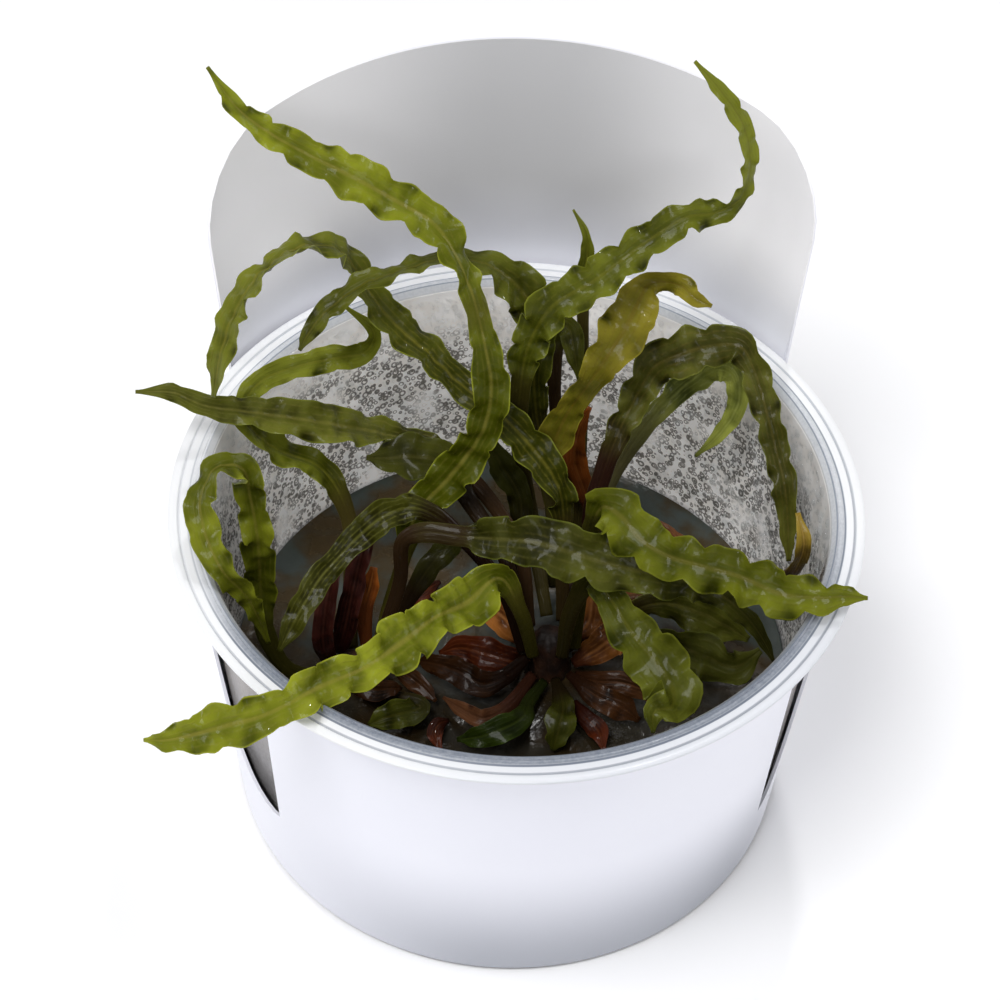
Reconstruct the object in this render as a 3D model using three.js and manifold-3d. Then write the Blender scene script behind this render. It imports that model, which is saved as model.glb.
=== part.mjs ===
import * as THREE from "three";
import { mergeVertices } from "three/addons/utils/BufferGeometryUtils.js";
import Module from "manifold-3d";

const wasm = await Module();
wasm.setup();

// Three young Cryptocoryne plants on a layer of clear gel in a round plastic cup,
// with a one-piece card label round the cup. Millimetres, Z up, -Y towards the viewer.
// The origin is the centre of the cup's flat underside.

// Cup
const cupHeight = 60.7;
const footRadius = 43.4;
const wallTaper = 0.08;
const wallThickness = 0.9;
const floorThickness = 1;
const flangeRadius = 52.5;
const flangeThickness = 0.9;
const lipInnerRadius = 48.1;
const lipOuterRadius = 49.2;
const roundSegments = 56;

// Gap between neighbouring pieces that touch
const gap = 0.3;

// Gel
const gelTop = 22.2;
const meniscus = 0.8;

// Label: a card cone under the flange, its back half cut free and leaning outward
const cardThickness = 0.5;
const cardBottom = 0.8;
const cardTop = 58;
const headerTop = 102.5;
const headerArch = 4.8;
const headerLean = 4.9;
const headerSlope = 0.1;
const leanStart = 14;
const headerLeft = -58.8;
const headerRight = 51.7;
const cornerRadius = 14;
const cornerTurns = [90, 60, 30];
const archSteps = 12;

const outerWall = (z) => footRadius + wallTaper * z;
const innerWall = (z) => outerWall(z) - wallThickness;
const clamp01 = (v) => Math.min(1, Math.max(0, v));
const smooth = (v) => clamp01(v) ** 2 * (3 - 2 * clamp01(v));
const radians = Math.PI / 180;

// A closed mesh from corner points and triangles, always facing out
function solid(points, triangles) {
  const flat = new Float32Array(points.flat());
  let volume = 0;
  for (const [a, b, c] of triangles) {
    const p = new THREE.Vector3(...points[a]);
    const q = new THREE.Vector3(...points[b]);
    volume += p.dot(q.cross(new THREE.Vector3(...points[c])));
  }
  const faces = volume < 0 ? triangles.map(([a, b, c]) => [a, c, b]) : triangles;
  const geometry = new THREE.BufferGeometry();
  geometry.setAttribute("position", new THREE.BufferAttribute(flat, 3));
  geometry.setIndex(faces.flat());
  return geometry;
}

// Turns a profile of [radius, height] points round the Z axis
function turned(profile, segments) {
  const path = profile.map(([r, z]) => new THREE.Vector2(r, z));
  const lathe = new THREE.LatheGeometry(path, segments);
  lathe.rotateX(Math.PI / 2);
  lathe.deleteAttribute("uv");
  lathe.deleteAttribute("normal");
  const merged = mergeVertices(lathe, 1e-4);
  const faces = [];
  for (let i = 0; i < merged.index.count; i += 3) {
    const [a, b, c] = merged.index.array.slice(i, i + 3);
    if (a !== b && b !== c && c !== a) faces.push(a, b, c);
  }
  merged.setIndex(faces);
  return merged;
}

function toManifold(geometry) {
  const plain = geometry.clone();
  for (const name of Object.keys(plain.attributes)) {
    if (name !== "position") plain.deleteAttribute(name);
  }
  const merged = mergeVertices(plain, 1e-4);
  return new wasm.Manifold(
    new wasm.Mesh({
      numProp: 3,
      vertProperties: new Float32Array(merged.attributes.position.array),
      triVerts: new Uint32Array(merged.index.array),
    }),
  );
}

function fromManifold(manifold) {
  const mesh = manifold.getMesh();
  const geometry = new THREE.BufferGeometry();
  geometry.setAttribute("position", new THREE.BufferAttribute(new Float32Array(mesh.vertProperties), 3));
  geometry.setIndex([...mesh.triVerts]);
  return geometry;
}

const part = new THREE.Group();
part.name = "cryptocoryne_cup";

function add(name, geometry, { color, roughness = 0.5, metalness = 0, opacity = 1 }) {
  geometry.computeVertexNormals();
  const material = new THREE.MeshStandardMaterial({ color, roughness, metalness });
  material.name = name;
  if (opacity < 1) {
    material.transparent = true;
    material.opacity = opacity;
  }
  const mesh = new THREE.Mesh(geometry, material);
  mesh.name = name;
  part.add(mesh);
}

// Cup with a thin outward flange and a raised sealing lip at its inner edge
function cupGeometry() {
  const underFlange = cupHeight - flangeThickness;
  return turned(
    [
      [0, 0],
      [footRadius - 1.4, 0],
      [footRadius - 0.4, 0.4],
      [outerWall(1.6), 1.6],
      [outerWall(underFlange - 1.6), underFlange - 1.6],
      [outerWall(underFlange) + 0.6, underFlange],
      [flangeRadius - 0.2, underFlange],
      [flangeRadius, cupHeight - 0.2],
      [lipOuterRadius + 0.3, cupHeight - 0.4],
      [lipOuterRadius, cupHeight],
      [lipInnerRadius + 0.2, cupHeight + 0.2],
      [innerWall(cupHeight - 1), cupHeight - 1],
      [innerWall(floorThickness + 1), floorThickness + 1],
      [innerWall(floorThickness) - 1.2, floorThickness],
      [0, floorThickness],
    ],
    roundSegments,
  );
}

// The header's outline as [angle, height], its top arched and its corners round
function headerEdge() {
  const degreesPerMm = 1 / (56 * radians);
  const middle = (headerLeft + headerRight) / 2;
  const half = (headerRight - headerLeft) / 2;
  const archAt = (angle, drop = 0) => [angle, headerTop - headerArch * ((angle - middle) / half) ** 2 - drop];
  const corner = cornerTurns.map((turn) => [
    cornerRadius * (1 - Math.sin(turn * radians)) * degreesPerMm,
    cornerRadius * (1 - Math.cos(turn * radians)),
  ]);
  const start = headerLeft + cornerRadius * degreesPerMm;
  const end = headerRight - cornerRadius * degreesPerMm;
  const edge = corner.map(([inset, drop]) => archAt(headerLeft + inset, drop));
  for (let i = 0; i <= archSteps; i++) {
    edge.push(archAt(start + ((end - start) * i) / archSteps));
  }
  edge.push(...corner.map(([inset, drop]) => archAt(headerRight - inset, drop)).reverse());
  return edge;
}

// How high the card reaches at an angle in degrees from the back, right-hand side positive
const cardEdge = [
  [-180, cardTop], [-131.5, cardTop], [-130, 18], [-125, 17.5], [-119, 18.5],
  [-114, 21], [-110, 25], [-106.5, 33], [-104, 44], [-102.5, cardTop],
  [headerLeft - 0.6, cardTop], [headerLeft, 70], ...headerEdge(),
  [headerRight, 70], [headerRight + 0.6, cardTop], [99.5, cardTop], [101, 42],
  [103.5, 31], [107, 23], [111, 17.5], [115, 14], [118.5, 13], [120, cardTop], [180, cardTop],
];

const cardColumns = () => {
  const columns = [];
  for (let i = 0; i < cardEdge.length - 1; i++) {
    const [a0, z0] = cardEdge[i];
    const [a1, z1] = cardEdge[i + 1];
    const steps = Math.max(1, Math.round((a1 - a0) / 7));
    for (let j = 0; j < steps; j++) {
      columns.push([a0 + ((a1 - a0) * j) / steps, z0 + ((z1 - z0) * j) / steps]);
    }
  }
  return columns;
};

// Radius of the card's inner face: on the wall at the front, leaning outward at the back
function cardRadius(angle, z) {
  const side = smooth((118 - Math.abs(angle)) / 55);
  const rise = clamp01((z - leanStart) / (cupHeight - leanStart));
  const lean = headerLean * side * rise ** 1.2;
  const onWall = outerWall(Math.min(z, cupHeight)) + 0.4;
  return onWall + lean + headerSlope * Math.max(0, z - cupHeight);
}

function labelGeometry() {
  const columns = cardColumns();
  const points = [];
  for (const [angle, top] of columns) {
    const low = Math.min(16, cardBottom + 0.4 * (top - cardBottom));
    const high = top > 70 ? 60 : cardBottom + 0.75 * (top - cardBottom);
    for (const z of [cardBottom, low, high, top]) {
      for (const outward of [0, cardThickness]) {
        const r = cardRadius(angle, z) + outward;
        points.push([r * Math.sin(angle * radians), r * Math.cos(angle * radians), z]);
      }
    }
  }
  const perColumn = 8;
  const triangles = [];
  for (let i = 0; i < columns.length; i++) {
    const a = i * perColumn;
    const b = ((i + 1) % columns.length) * perColumn;
    const quad = (p, q, r, s) => triangles.push([p, q, r], [p, r, s]);
    for (let k = 0; k < 3; k++) {
      const low = 2 * k;
      const high = 2 * k + 2;
      quad(a + low, a + high, b + high, b + low);
      quad(a + low + 1, b + low + 1, b + high + 1, a + high + 1);
    }
    quad(a, b, b + 1, a + 1);
    quad(a + 6, a + 7, b + 7, b + 6);
  }
  return solid(points, triangles);
}

// Crowns: the short stems that the leaves grow from, half sunk in the gel
const crowns = {
  crown_left: { at: [-25, -5], bottom: 17.5, top: 28, radius: [4, 2.4], color: 0x5b3a22 },
  crown_centre: { at: [6, -1], bottom: 17.5, top: 31, radius: [4.4, 2.6], color: 0x5b3a22 },
  crown_back: { at: [10.5, 11], bottom: 17.5, top: 31, radius: [4, 2.4], color: 0x5b3a22 },
};

function crownGeometry({ at, bottom, top, radius }, grow = 0) {
  const [wide, narrow] = radius;
  const middle = (bottom + top) / 2;
  const geometry = turned(
    [
      [0, bottom - grow],
      [wide * 0.6 + grow, bottom - grow],
      [wide + grow, bottom + 1.6],
      [(wide + narrow) / 2 + grow, middle],
      [narrow + grow, top - 1],
      [narrow * 0.5 + grow, top + grow],
      [0, top + 0.4 + grow],
    ],
    10,
  );
  geometry.translate(at[0], at[1], 0);
  return geometry;
}

function gelGeometry() {
  const bottom = floorThickness + gap;
  const edge = innerWall(gelTop) - gap;
  let gel = toManifold(
    turned(
      [
        [0, bottom],
        [innerWall(bottom) - 1.6, bottom],
        [innerWall(bottom + 1.4) - gap, bottom + 1.4],
        [edge, gelTop + meniscus],
        [edge - 1, gelTop + 0.2],
        [edge - 3, gelTop],
        [0, gelTop],
      ],
      roundSegments,
    ),
  );
  for (const crown of Object.values(crowns)) {
    gel = gel.subtract(toManifold(crownGeometry(crown, gap + 0.1)));
  }
  return fromManifold(gel);
}

// Leaves. Each row is [x, y, z, half width, tilt in degrees] from the crown to the tip.
// A blade faces up and forward unless its tilt turns it about its midrib.
const facing = new THREE.Vector3(0, -0.66, 0.75);
const leaves = {
  leaf_upper_left: {
    color: 0x86861f,
    rows: [
      [-21.5, -2.5, 25, 1, 0], [-20, 2, 31, 1, 0], [-17.5, 5, 40, 1.1, 0], [-15.5, 7, 49, 2.7, 10],
      [-10.5, 9, 55.5, 3.2, 0], [-5.5, 10, 65.5, 2.7, 20], [-4.5, 12, 72.5, 2.8, 0], [-5.5, 14, 78.5, 2.2, 0],
      [-7, 17, 83.5, 1.7, 0], [-9.5, 20, 89.5, 2.3, 50], [-13.5, 23, 95, 2.9, 0], [-19, 26, 96.5, 3, 0],
      [-26, 28, 99.5, 3.3, 0], [-33, 30, 102, 2.4, 0], [-38.5, 31, 105, 2, 10], [-42.5, 31, 109, 1.4, 0],
      [-46.5, 30, 117.5, 0.3, 0],
    ],
  },
  leaf_left_arch: {
    color: 0x4f6420,
    rows: [
      [8, 3, 29, 1, 0], [7.5, 8, 41.5, 1.2, 0], [6.5, 9, 53.5, 2.3, 30], [3, 11, 59, 2.9, 0],
      [-3, 14.5, 64, 2.5, 0], [-9, 18, 66.5, 2.4, 20], [-15, 21, 71, 2.8, 30], [-20.5, 24, 74.5, 2.8, 20],
      [-24.5, 26, 80, 2.1, 30], [-28, 25, 87.5, 2.7, 50], [-33.5, 21, 91.5, 2.4, 50], [-38.5, 15, 92, 2.4, 60],
      [-42.5, 12, 86.5, 2.4, 30], [-44.5, 9, 81, 2, 20], [-46, 8, 72.5, 0.4, 0],
    ],
  },
  leaf_back_left: {
    color: 0x3f5519,
    rows: [
      [7, 13, 28, 1, 0], [5.5, 18, 41, 1.1, 0], [3, 21, 54, 1.8, 20], [2, 22, 66, 2.3, 0],
      [2.5, 25, 73.5, 2.8, 0], [-0.5, 27, 78.5, 3.6, 0], [-5.5, 27, 83.5, 2.4, 30], [-11.5, 26, 85.5, 1.7, 40],
      [-18, 23.5, 85.5, 1.9, 50], [-24.5, 20.5, 84.5, 2.1, 40], [-29.5, 18, 81.5, 1.8, 20], [-32, 16, 79, 1.3, 0],
      [-33.5, 15, 76, 0.3, 0],
    ],
  },
  leaf_left_long: {
    color: 0x35491a,
    rows: [
      [2.8, 1.6, 29, 1, 0], [0.5, 7.5, 41.5, 1.1, 0], [-7, 14, 49.5, 1.3, 0], [-14, 18, 52.8, 2, 30],
      [-21, 18.5, 54.5, 2.6, 40], [-28.5, 15, 60, 3.2, 20], [-36, 13, 63.5, 2.8, 0], [-42.5, 12, 65.5, 2.3, 20],
      [-48, 11, 67.5, 1.7, 0], [-52.5, 11, 70, 1.4, 20], [-58, 10, 71, 0.3, 0],
    ],
  },
  leaf_left_short: {
    color: 0x364a18,
    rows: [
      [1.6, 0, 29, 1, 0], [-1.2, 3.5, 42, 1.1, 0], [-7.5, 11, 48, 1.4, 0], [-12, 13.7, 53.5, 3.4, 30],
      [-17, 13.5, 55, 3.7, 10], [-20, 13, 55, 2.6, 0], [-23.5, 12, 56, 0.4, 0],
    ],
  },
  leaf_left_curl: {
    color: 0x6f7d20,
    rows: [
      [-25.5, -1, 25, 1, 0], [-26, 5, 32.5, 1.1, 0], [-26.5, 12, 41.5, 1.3, 0], [-31, 15, 50, 2.1, 20],
      [-37, 15, 53.5, 2.3, 30], [-41, 14, 59, 2.1, 40], [-42.5, 15, 63.5, 1.9, 30], [-40, 19, 65, 1.8, 0],
      [-34.5, 22, 65.5, 1.9, 0], [-29, 24, 65.5, 2.1, 0], [-24.5, 26, 65, 1.7, 30], [-23, 26, 69.5, 1, 0],
      [-27.5, 26, 75, 0.3, 0],
    ],
  },
  leaf_left_hook: {
    color: 0x83851e,
    rows: [
      [-28.5, -6, 23.5, 1, 0], [-35, -8, 28, 1.2, 0], [-38.5, -7, 36.5, 1.6, 30], [-39, -5, 43.5, 2.4, 0],
      [-39, -5, 55.5, 2.3, 10], [-40, -3, 63, 2.1, 0], [-41, -3, 69, 2.3, 30], [-44.5, -5, 71, 2.1, 50],
      [-46.5, -9, 68.5, 2.3, 20], [-45.5, -13.5, 66, 2.4, 0], [-43, -17.5, 63, 1.9, 0], [-39.5, -16, 54.5, 1.6, 0],
      [-37, -15, 43, 0.4, 0],
    ],
  },
  leaf_front_left: {
    color: 0x8a8a22,
    rows: [
      [3.5, -4.5, 29, 1, 0], [1, -8, 44.5, 1.2, 0], [-2.5, -9, 53, 2.2, 0], [-7, -14, 53, 4, 0],
      [-11.5, -19.5, 56, 2.6, 0], [-16, -26, 58, 4, 0], [-21, -32.5, 60, 2.6, 0], [-27.5, -39, 63, 3.2, 0],
      [-31, -43, 64.5, 2.4, 0], [-35, -46, 65, 2.8, 0], [-39, -47.5, 65, 3.4, 0], [-43.5, -48.5, 64, 2.7, 0],
      [-47.5, -49, 63, 1.6, 0], [-51, -48, 61.5, 0.3, 0],
    ],
  },
  leaf_left_bent: {
    color: 0x5d6622,
    rows: [
      [2, -2.8, 28, 1, 0], [-2, 0.5, 40, 1.1, 0], [-8.5, 3, 48.5, 1.2, 0], [-13.5, 3.8, 53, 1.6, 0],
      [-17, 3.2, 54.5, 2.2, 0], [-20.5, 2, 53.5, 2.5, 0], [-24, 0.3, 51, 2.3, 0], [-27, -2.5, 49, 1.8, 0],
      [-29.5, -5.5, 47.8, 2.1, 0], [-31.5, -9, 46.5, 2, 0], [-33.5, -12, 44, 1.8, 0], [-35.5, -15, 41, 0.4, 0],
    ],
  },
  leaf_left_inner: {
    color: 0x5d6622,
    rows: [
      [-27.5, -2, 25.5, 1.4, 0], [-26.2, -2.6, 33, 1.8, 0], [-25, -0.8, 40, 1.7, 0], [-23.8, 2, 45, 1.5, 0],
      [-22.5, 5, 49, 1, 0], [-21.5, 7, 51.5, 0.3, 0],
    ],
  },
  leaf_front_right: {
    color: 0x5f7320,
    rows: [
      [8, -4.5, 29, 1, 0], [9, -6, 42.5, 1.3, 0], [12, -8, 52.5, 1.8, 0], [14.5, -12, 52.5, 2.4, 0],
      [18, -17, 50.5, 3.4, 0], [21.5, -21, 49, 4.4, 0], [24, -25, 47.5, 4.2, 0], [23.5, -29, 48.5, 2.8, 0],
      [21, -31, 50, 1.8, 0], [21, -33, 47.5, 0.3, 0],
    ],
  },
  leaf_right_over_rim: {
    color: 0x84861f,
    rows: [
      [10, -2.5, 29, 1, 0], [10.5, -3, 47.5, 1.2, 0], [11.5, -3, 59.5, 1.4, 0], [13, -5, 65.5, 2.6, 0],
      [15.5, -8, 66.5, 3.9, 0], [18.5, -11.5, 65.5, 3.5, 0], [22.5, -13.5, 64.5, 3.2, 0], [27, -15.5, 65, 3.4, 0],
      [33, -17, 64.5, 3.3, 0], [38.5, -19, 63.5, 3.5, 0], [44, -20, 64, 2.5, 0], [48, -20, 64.5, 1.4, 0],
      [51, -21, 65.5, 0.3, 0],
    ],
  },
  leaf_front_centre: {
    color: 0x3a4717,
    rows: [
      [-20.5, -6, 24.5, 1, 0], [-20, -6.5, 35, 1.1, 0], [-17.5, -4, 46, 1.1, 0], [-17, -3, 54, 1.2, 0],
      [-14, -3, 56, 1.6, 0], [-8, -4, 56.5, 1.6, 0], [-3, -6, 58.5, 3.1, 0], [2, -8, 60.5, 3.5, 0],
      [7, -9, 60, 4.2, 0], [12, -10, 59, 3.9, 0], [17, -11, 58.5, 3.4, 0], [23, -11, 57, 3.2, 20],
      [29.5, -11, 54.5, 2.5, 20], [34.5, -12, 50.5, 1.6, 20], [38, -13, 45.5, 1, 0], [40, -14, 41.5, 0.3, 0],
    ],
  },
  leaf_right_arch: {
    color: 0x364817,
    rows: [
      [15, 10, 28, 1.2, 0], [13.7, 10.5, 36, 1.3, 0], [11.8, 11, 44.5, 1.4, 0], [13.5, 14, 53, 1.5, 0],
      [15.5, 17, 58.5, 1.9, 0], [18, 20, 63.5, 2.6, 20], [20.5, 22, 68, 3.2, 20], [24.5, 23, 70, 3.6, 0],
      [29, 24, 71, 3.2, 0], [33.5, 23, 72, 2.5, 20], [36, 20, 69, 2.3, 20], [38, 15, 65, 2.1, 0],
      [39.5, 12, 61, 2, 0], [41, 8, 57.5, 1.9, 20], [42, 5, 51.5, 1.5, 20], [42.5, 2, 46.5, 0.4, 0],
    ],
  },
  leaf_right_hanging: {
    color: 0x6c7840,
    rows: [
      [13.5, 14, 28, 1, 0], [14.5, 19, 43, 1.2, 0], [19.5, 24, 51.5, 1.6, 20], [26, 28, 58, 2.1, 20],
      [31, 28, 63, 2.6, 20], [33.5, 27, 62.5, 2.4, 0], [34.5, 25, 58.5, 1.8, 20], [32.5, 24, 52.5, 1.3, 20],
      [28.5, 24, 46, 0.3, 0],
    ],
  },
  leaf_upper_right: {
    color: 0x6d7d22,
    rows: [
      [5.5, 3, 30, 1, 0], [2.5, 15, 39.5, 1.3, 0], [0, 18, 55, 1.3, 0], [0, 19, 66, 1.6, 0],
      [1, 20, 74, 2.6, 0], [4.5, 21, 81.5, 3, 0], [10, 23, 84.5, 3.1, 0], [14, 25, 87, 2.8, 0],
      [18.5, 27, 90, 2.6, 0], [24, 29, 93, 2.3, 0], [28, 30, 93, 1.9, 10], [31.5, 31, 95, 1.2, 40],
      [32.5, 31, 101, 1.2, 30], [31, 31, 109, 1.3, 0], [27.5, 31, 115, 1.1, 0], [23, 31, 121, 0.3, 0],
    ],
  },
  leaf_thin_upright: {
    color: 0x6e7a24,
    rows: [
      [10, 15, 28, 0.9, 0], [10.2, 21, 38, 0.9, 0], [10, 27, 55, 0.9, 0], [9.5, 31, 66.5, 0.9, 0],
      [9, 33, 75.5, 1.2, 0], [9.5, 34, 80, 1.1, 0], [9, 34, 84.5, 0.6, 0], [7, 34, 89, 0.2, 0],
    ],
  },
  leaf_back_right: {
    color: 0x93901f,
    rows: [
      [6.5, 11, 28, 1, 0], [6, 12, 43, 1.1, 0], [4.5, 16, 52, 1.5, 0], [6, 17, 57.5, 2.8, 0],
      [7.5, 18, 61.5, 2.3, 0], [10, 18, 67, 1.8, 0], [13, 19, 73, 3.1, 0], [15.5, 22, 76, 3.9, 0],
      [17.5, 26, 78, 3.3, 0], [19, 29, 79, 2.2, 20], [21.5, 29, 79.5, 1.6, 30], [24, 27, 80.5, 1.7, 20],
      [26, 25, 80, 1.3, 0], [28.5, 24, 79.5, 0.3, 0],
    ],
  },
  leaf_small_curl: {
    color: 0x3f5018,
    rows: [
      [7.5, 14.5, 26, 0.9, 0], [7, 20, 43.5, 1, 0], [5.5, 24, 58, 1, 0], [5, 27, 65, 1.4, 0],
      [5.5, 28, 69.5, 1.9, 0], [7, 27, 71, 1.7, 0], [8, 25, 68.5, 1.7, 0], [9, 23, 63.5, 0.3, 0],
    ],
  },
  leaf_wall_right: {
    color: 0x6b5a26,
    rows: [
      [14.3, 11, 24, 0.9, 0], [33.5, 9, 31, 0.9, 0], [41, 3.5, 40, 1, 20], [43.2, -2.5, 51, 1.2, 20],
      [43.5, -3, 57, 1.2, 0], [42.5, 0.5, 59.5, 0.4, 0],
    ],
  },
  leaf_low_front_left: {
    color: 0x52651e,
    rows: [
      [-23, -8.4, 23.5, 0.9, 0], [-14, -12.5, 25, 1.8, 0], [-17, -14.5, 26, 2.4, 0], [-20, -15, 25, 1.8, 0],
      [-22, -15.5, 24, 0.4, 0],
    ],
  },
  leaf_low_front: {
    color: 0x52651e,
    rows: [
      [7.2, -5, 24, 0.8, 0], [8.4, -12, 26, 1.8, 0], [8, -16, 27, 2.4, 0], [7.5, -17.5, 25, 1.8, 0],
      [7, -18.5, 23, 0.4, 0],
    ],
  },
  leaf_low_right: {
    color: 0x343c18,
    rows: [
      [10, -0.5, 24, 0.9, 0], [22, 0.5, 28, 1.8, 20], [30, -3, 29, 3.6, 20], [35.5, -4.5, 28, 3, 20],
      [39.5, -2.5, 30, 0.6, 0],
    ],
  },
  leaf_low_right_back: {
    color: 0x343c18,
    rows: [
      [9, 1.5, 24, 0.9, 0], [22, 7, 29, 1.8, 20], [28.5, 4.5, 31, 3.6, 20], [33, 3, 30, 3.4, 20],
      [38, 2, 27, 0.6, 0],
    ],
  },
  old_leaf_a: {
    color: 0x6e3c28,
    rows: [
      [2.5, 1, 24.5, 0.9, 0], [-0.5, 3, 28, 2.8, 0], [-3.5, 6, 28, 2.3, 0], [-5, 9, 27, 0.4, 0],
    ],
  },
  old_leaf_b: {
    color: 0x7a3326,
    rows: [
      [1.5, -2, 24, 1, 0], [0.5, -3.5, 26, 2.2, 0], [-4, -2.5, 26.5, 2.8, 0], [-8, -1, 26, 2.1, 0],
      [-11.5, -0.5, 24, 0.4, 0],
    ],
  },
  old_leaf_c: {
    color: 0x8a5548,
    rows: [
      [3.6, -4.3, 24, 0.9, 0], [-0.4, -11.8, 25, 1.2, 0], [-4, -15, 26, 1.6, 0], [-7.5, -12.5, 25, 1.2, 0],
      [-10.5, -9.5, 24, 0.3, 0],
    ],
  },
  old_leaf_d: {
    color: 0x6e3c28,
    rows: [
      [9.5, 0.5, 28, 0.9, 0], [12, 1.5, 30, 2.3, 0], [12.5, 4, 33, 2.7, 0], [12.5, 6.5, 34, 1.9, 0],
      [12.5, 9, 34, 0.4, 0],
    ],
  },
  old_leaf_e: {
    color: 0x70452a,
    rows: [
      [10, -2.5, 25, 0.9, 0], [13.5, -2, 28, 2.4, 0], [16.5, -1, 30, 2.9, 0], [19, -1, 29.5, 2.2, 0],
      [21, -2.5, 27.5, 0.4, 0],
    ],
  },
  old_leaf_f: {
    color: 0x6e3c28,
    rows: [
      [9.2, -4.9, 25.2, 0.7, 0], [14, -10.3, 26.4, 2, 0], [17.5, -12, 26.3, 2.2, 0], [20.5, -13, 24.3, 0.5, 0],
    ],
  },
  old_leaf_i: {
    color: 0x4a2a1c,
    rows: [
      [2.6, -3.1, 27, 0.9, 0], [-1, -7, 26.5, 1.4, 0], [-4.5, -8.5, 26.5, 2.2, 0], [-8.5, -6.3, 26.8, 2.2, 0],
      [-12.5, -4.3, 26, 1.6, 0], [-15, -2.5, 24.3, 0.4, 0],
    ],
  },
  old_leaf_j: {
    color: 0x5a2f20,
    rows: [
      [10.2, -9.2, 23.5, 0.7, 0], [11.8, -12.2, 23.9, 1.4, 0], [14, -15, 24, 1.7, 0], [15, -18.5, 23.6, 0.4, 0],
    ],
  },
  old_leaf_k: {
    color: 0x8a4a40,
    rows: [
      [-2.5, -21.5, 24, 0.8, 0], [1.5, -23, 24.3, 1.3, 0], [6, -23, 24.3, 1.4, 0], [10.5, -21.5, 23.8, 0.4, 0],
    ],
  },
  leaf_low_front_small: {
    color: 0x4f7a20,
    rows: [
      [5.5, -5.6, 24, 0.8, 0], [3, -11.2, 25.7, 1.1, 0], [2.2, -15.3, 27.3, 1.7, 0], [-0.8, -18.2, 27.9, 2.2, 0],
      [-4.5, -19, 26.6, 1.8, 0], [-8, -18.5, 25, 0.4, 0],
    ],
  },
  old_leaf_g: {
    color: 0x8a4f26,
    rows: [
      [-23, -1, 23.5, 0.9, 0], [-23.5, 0.5, 33, 1.4, 0], [-22.5, 1.5, 38, 1.5, 0], [-22, 2.5, 41, 0.6, 0],
    ],
  },
  old_leaf_h: {
    color: 0x7a4a22,
    rows: [
      [12, 15.6, 24.5, 0.9, 0], [12.2, 18.2, 37.5, 1, 0], [10.5, 19, 43.5, 1.8, 0], [9, 20, 48.5, 2, 0],
      [9.5, 22, 53.5, 1.2, 0], [11, 23, 57.5, 0.4, 0],
    ],
  },
  leaf_left_young: {
    color: 0x5a3326,
    rows: [
      [-29, -4, 26, 1.4, 0], [-29.6, -6, 33, 1.7, 0], [-29, -3.6, 40, 1.6, 0], [-27.8, 0.2, 44.5, 1.1, 0],
      [-26.8, 2.6, 47, 0.3, 0],
    ],
  },
  old_leaf_l: {
    color: 0x6e3c28,
    rows: [
      [10.4, -3.4, 23.3, 0.7, 0], [13.8, -6, 25, 1.7, 0], [18, -7.2, 26.2, 1.9, 0], [22, -8.2, 25.4, 1.5, 0],
      [25, -9.2, 24, 0.4, 0],
    ],
  },
  old_leaf_m: {
    color: 0x8a5a40,
    rows: [
      [15.5, 18, 23.4, 0.5, 0], [17.5, 16.3, 24.4, 2, 0], [20.5, 14.8, 24.8, 2.5, 0], [23.5, 13.2, 24.2, 1.7, 0],
      [25.5, 12.2, 23.4, 0.4, 0],
    ],
  },
  old_leaf_n: {
    color: 0x8a5a40,
    rows: [
      [18.5, 31.5, 23.3, 0.4, 0], [21, 29, 24.2, 1.4, 0], [24.5, 26.5, 24.4, 1.7, 0], [28, 24.5, 24, 1.3, 0],
      [31, 22.5, 23.3, 0.3, 0],
    ],
  },
  old_leaf_o: {
    color: 0x3c2818,
    rows: [
      [-24.9, -8.3, 26, 0.9, 0], [-23.5, -10.6, 27.3, 1.6, 0], [-21, -11.4, 27.8, 1.9, 0],
      [-18.5, -10.7, 27.4, 1.2, 0], [-17, -9.9, 26.5, 0.3, 0],
    ],
  },
  old_leaf_p: {
    color: 0x6e3c28,
    rows: [
      [-12, 15, 23.3, 0.4, 0], [-14, 12.5, 24.2, 1.4, 0], [-16, 10, 24.2, 1.4, 0], [-17.5, 7.5, 23.3, 0.3, 0],
    ],
  },
  old_leaf_r: {
    color: 0x7a3326,
    rows: [
      [-9.5, -13.6, 23.4, 0.4, 0], [-11, -15.2, 24.4, 1.2, 0], [-11.5, -17.2, 24.6, 1.3, 0],
      [-10.4, -19.7, 23.5, 0.3, 0],
    ],
  },
  leaf_inner_back: {
    color: 0x2f3d16,
    rows: [
      [0.5, 8.5, 23.4, 0.9, 0], [0.4, 9.5, 36, 1.1, 0], [0.6, 13.4, 46, 1.9, 0], [-2.4, 14.8, 52, 2.2, 0],
      [-4.4, 15.4, 56, 1.3, 0], [-6, 16, 59, 0.3, 0],
    ],
  },
  leaf_inner_left: {
    color: 0x2f3d16,
    rows: [
      [-22, -3.4, 26.4, 1, 0], [-17, 0, 35, 1.2, 0], [-13.5, 2.5, 41, 1.8, 0], [-10, 5, 44.5, 2, 0],
      [-6, 7, 47, 0.4, 0],
    ],
  },
  old_leaf_t: {
    color: 0x4a2a1c,
    rows: [
      [-17.6, -3.6, 23.8, 0.4, 0], [-17, -5.4, 24.8, 1.4, 0], [-15.4, -7, 25, 1.6, 0], [-13.4, -8.6, 24.6, 1.3, 0],
      [-11.6, -10.2, 23.8, 0.3, 0],
    ],
  },
  old_leaf_u: {
    color: 0x5a2f20,
    rows: [
      [-20.6, 0.6, 23.8, 0.4, 0], [-18, -0.2, 24.6, 1.5, 0], [-15.4, 0.4, 24.8, 1.6, 0], [-12.8, 1.8, 23.8, 0.3, 0],
    ],
  },
  old_leaf_s: {
    color: 0x8a4a40,
    rows: [
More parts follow.
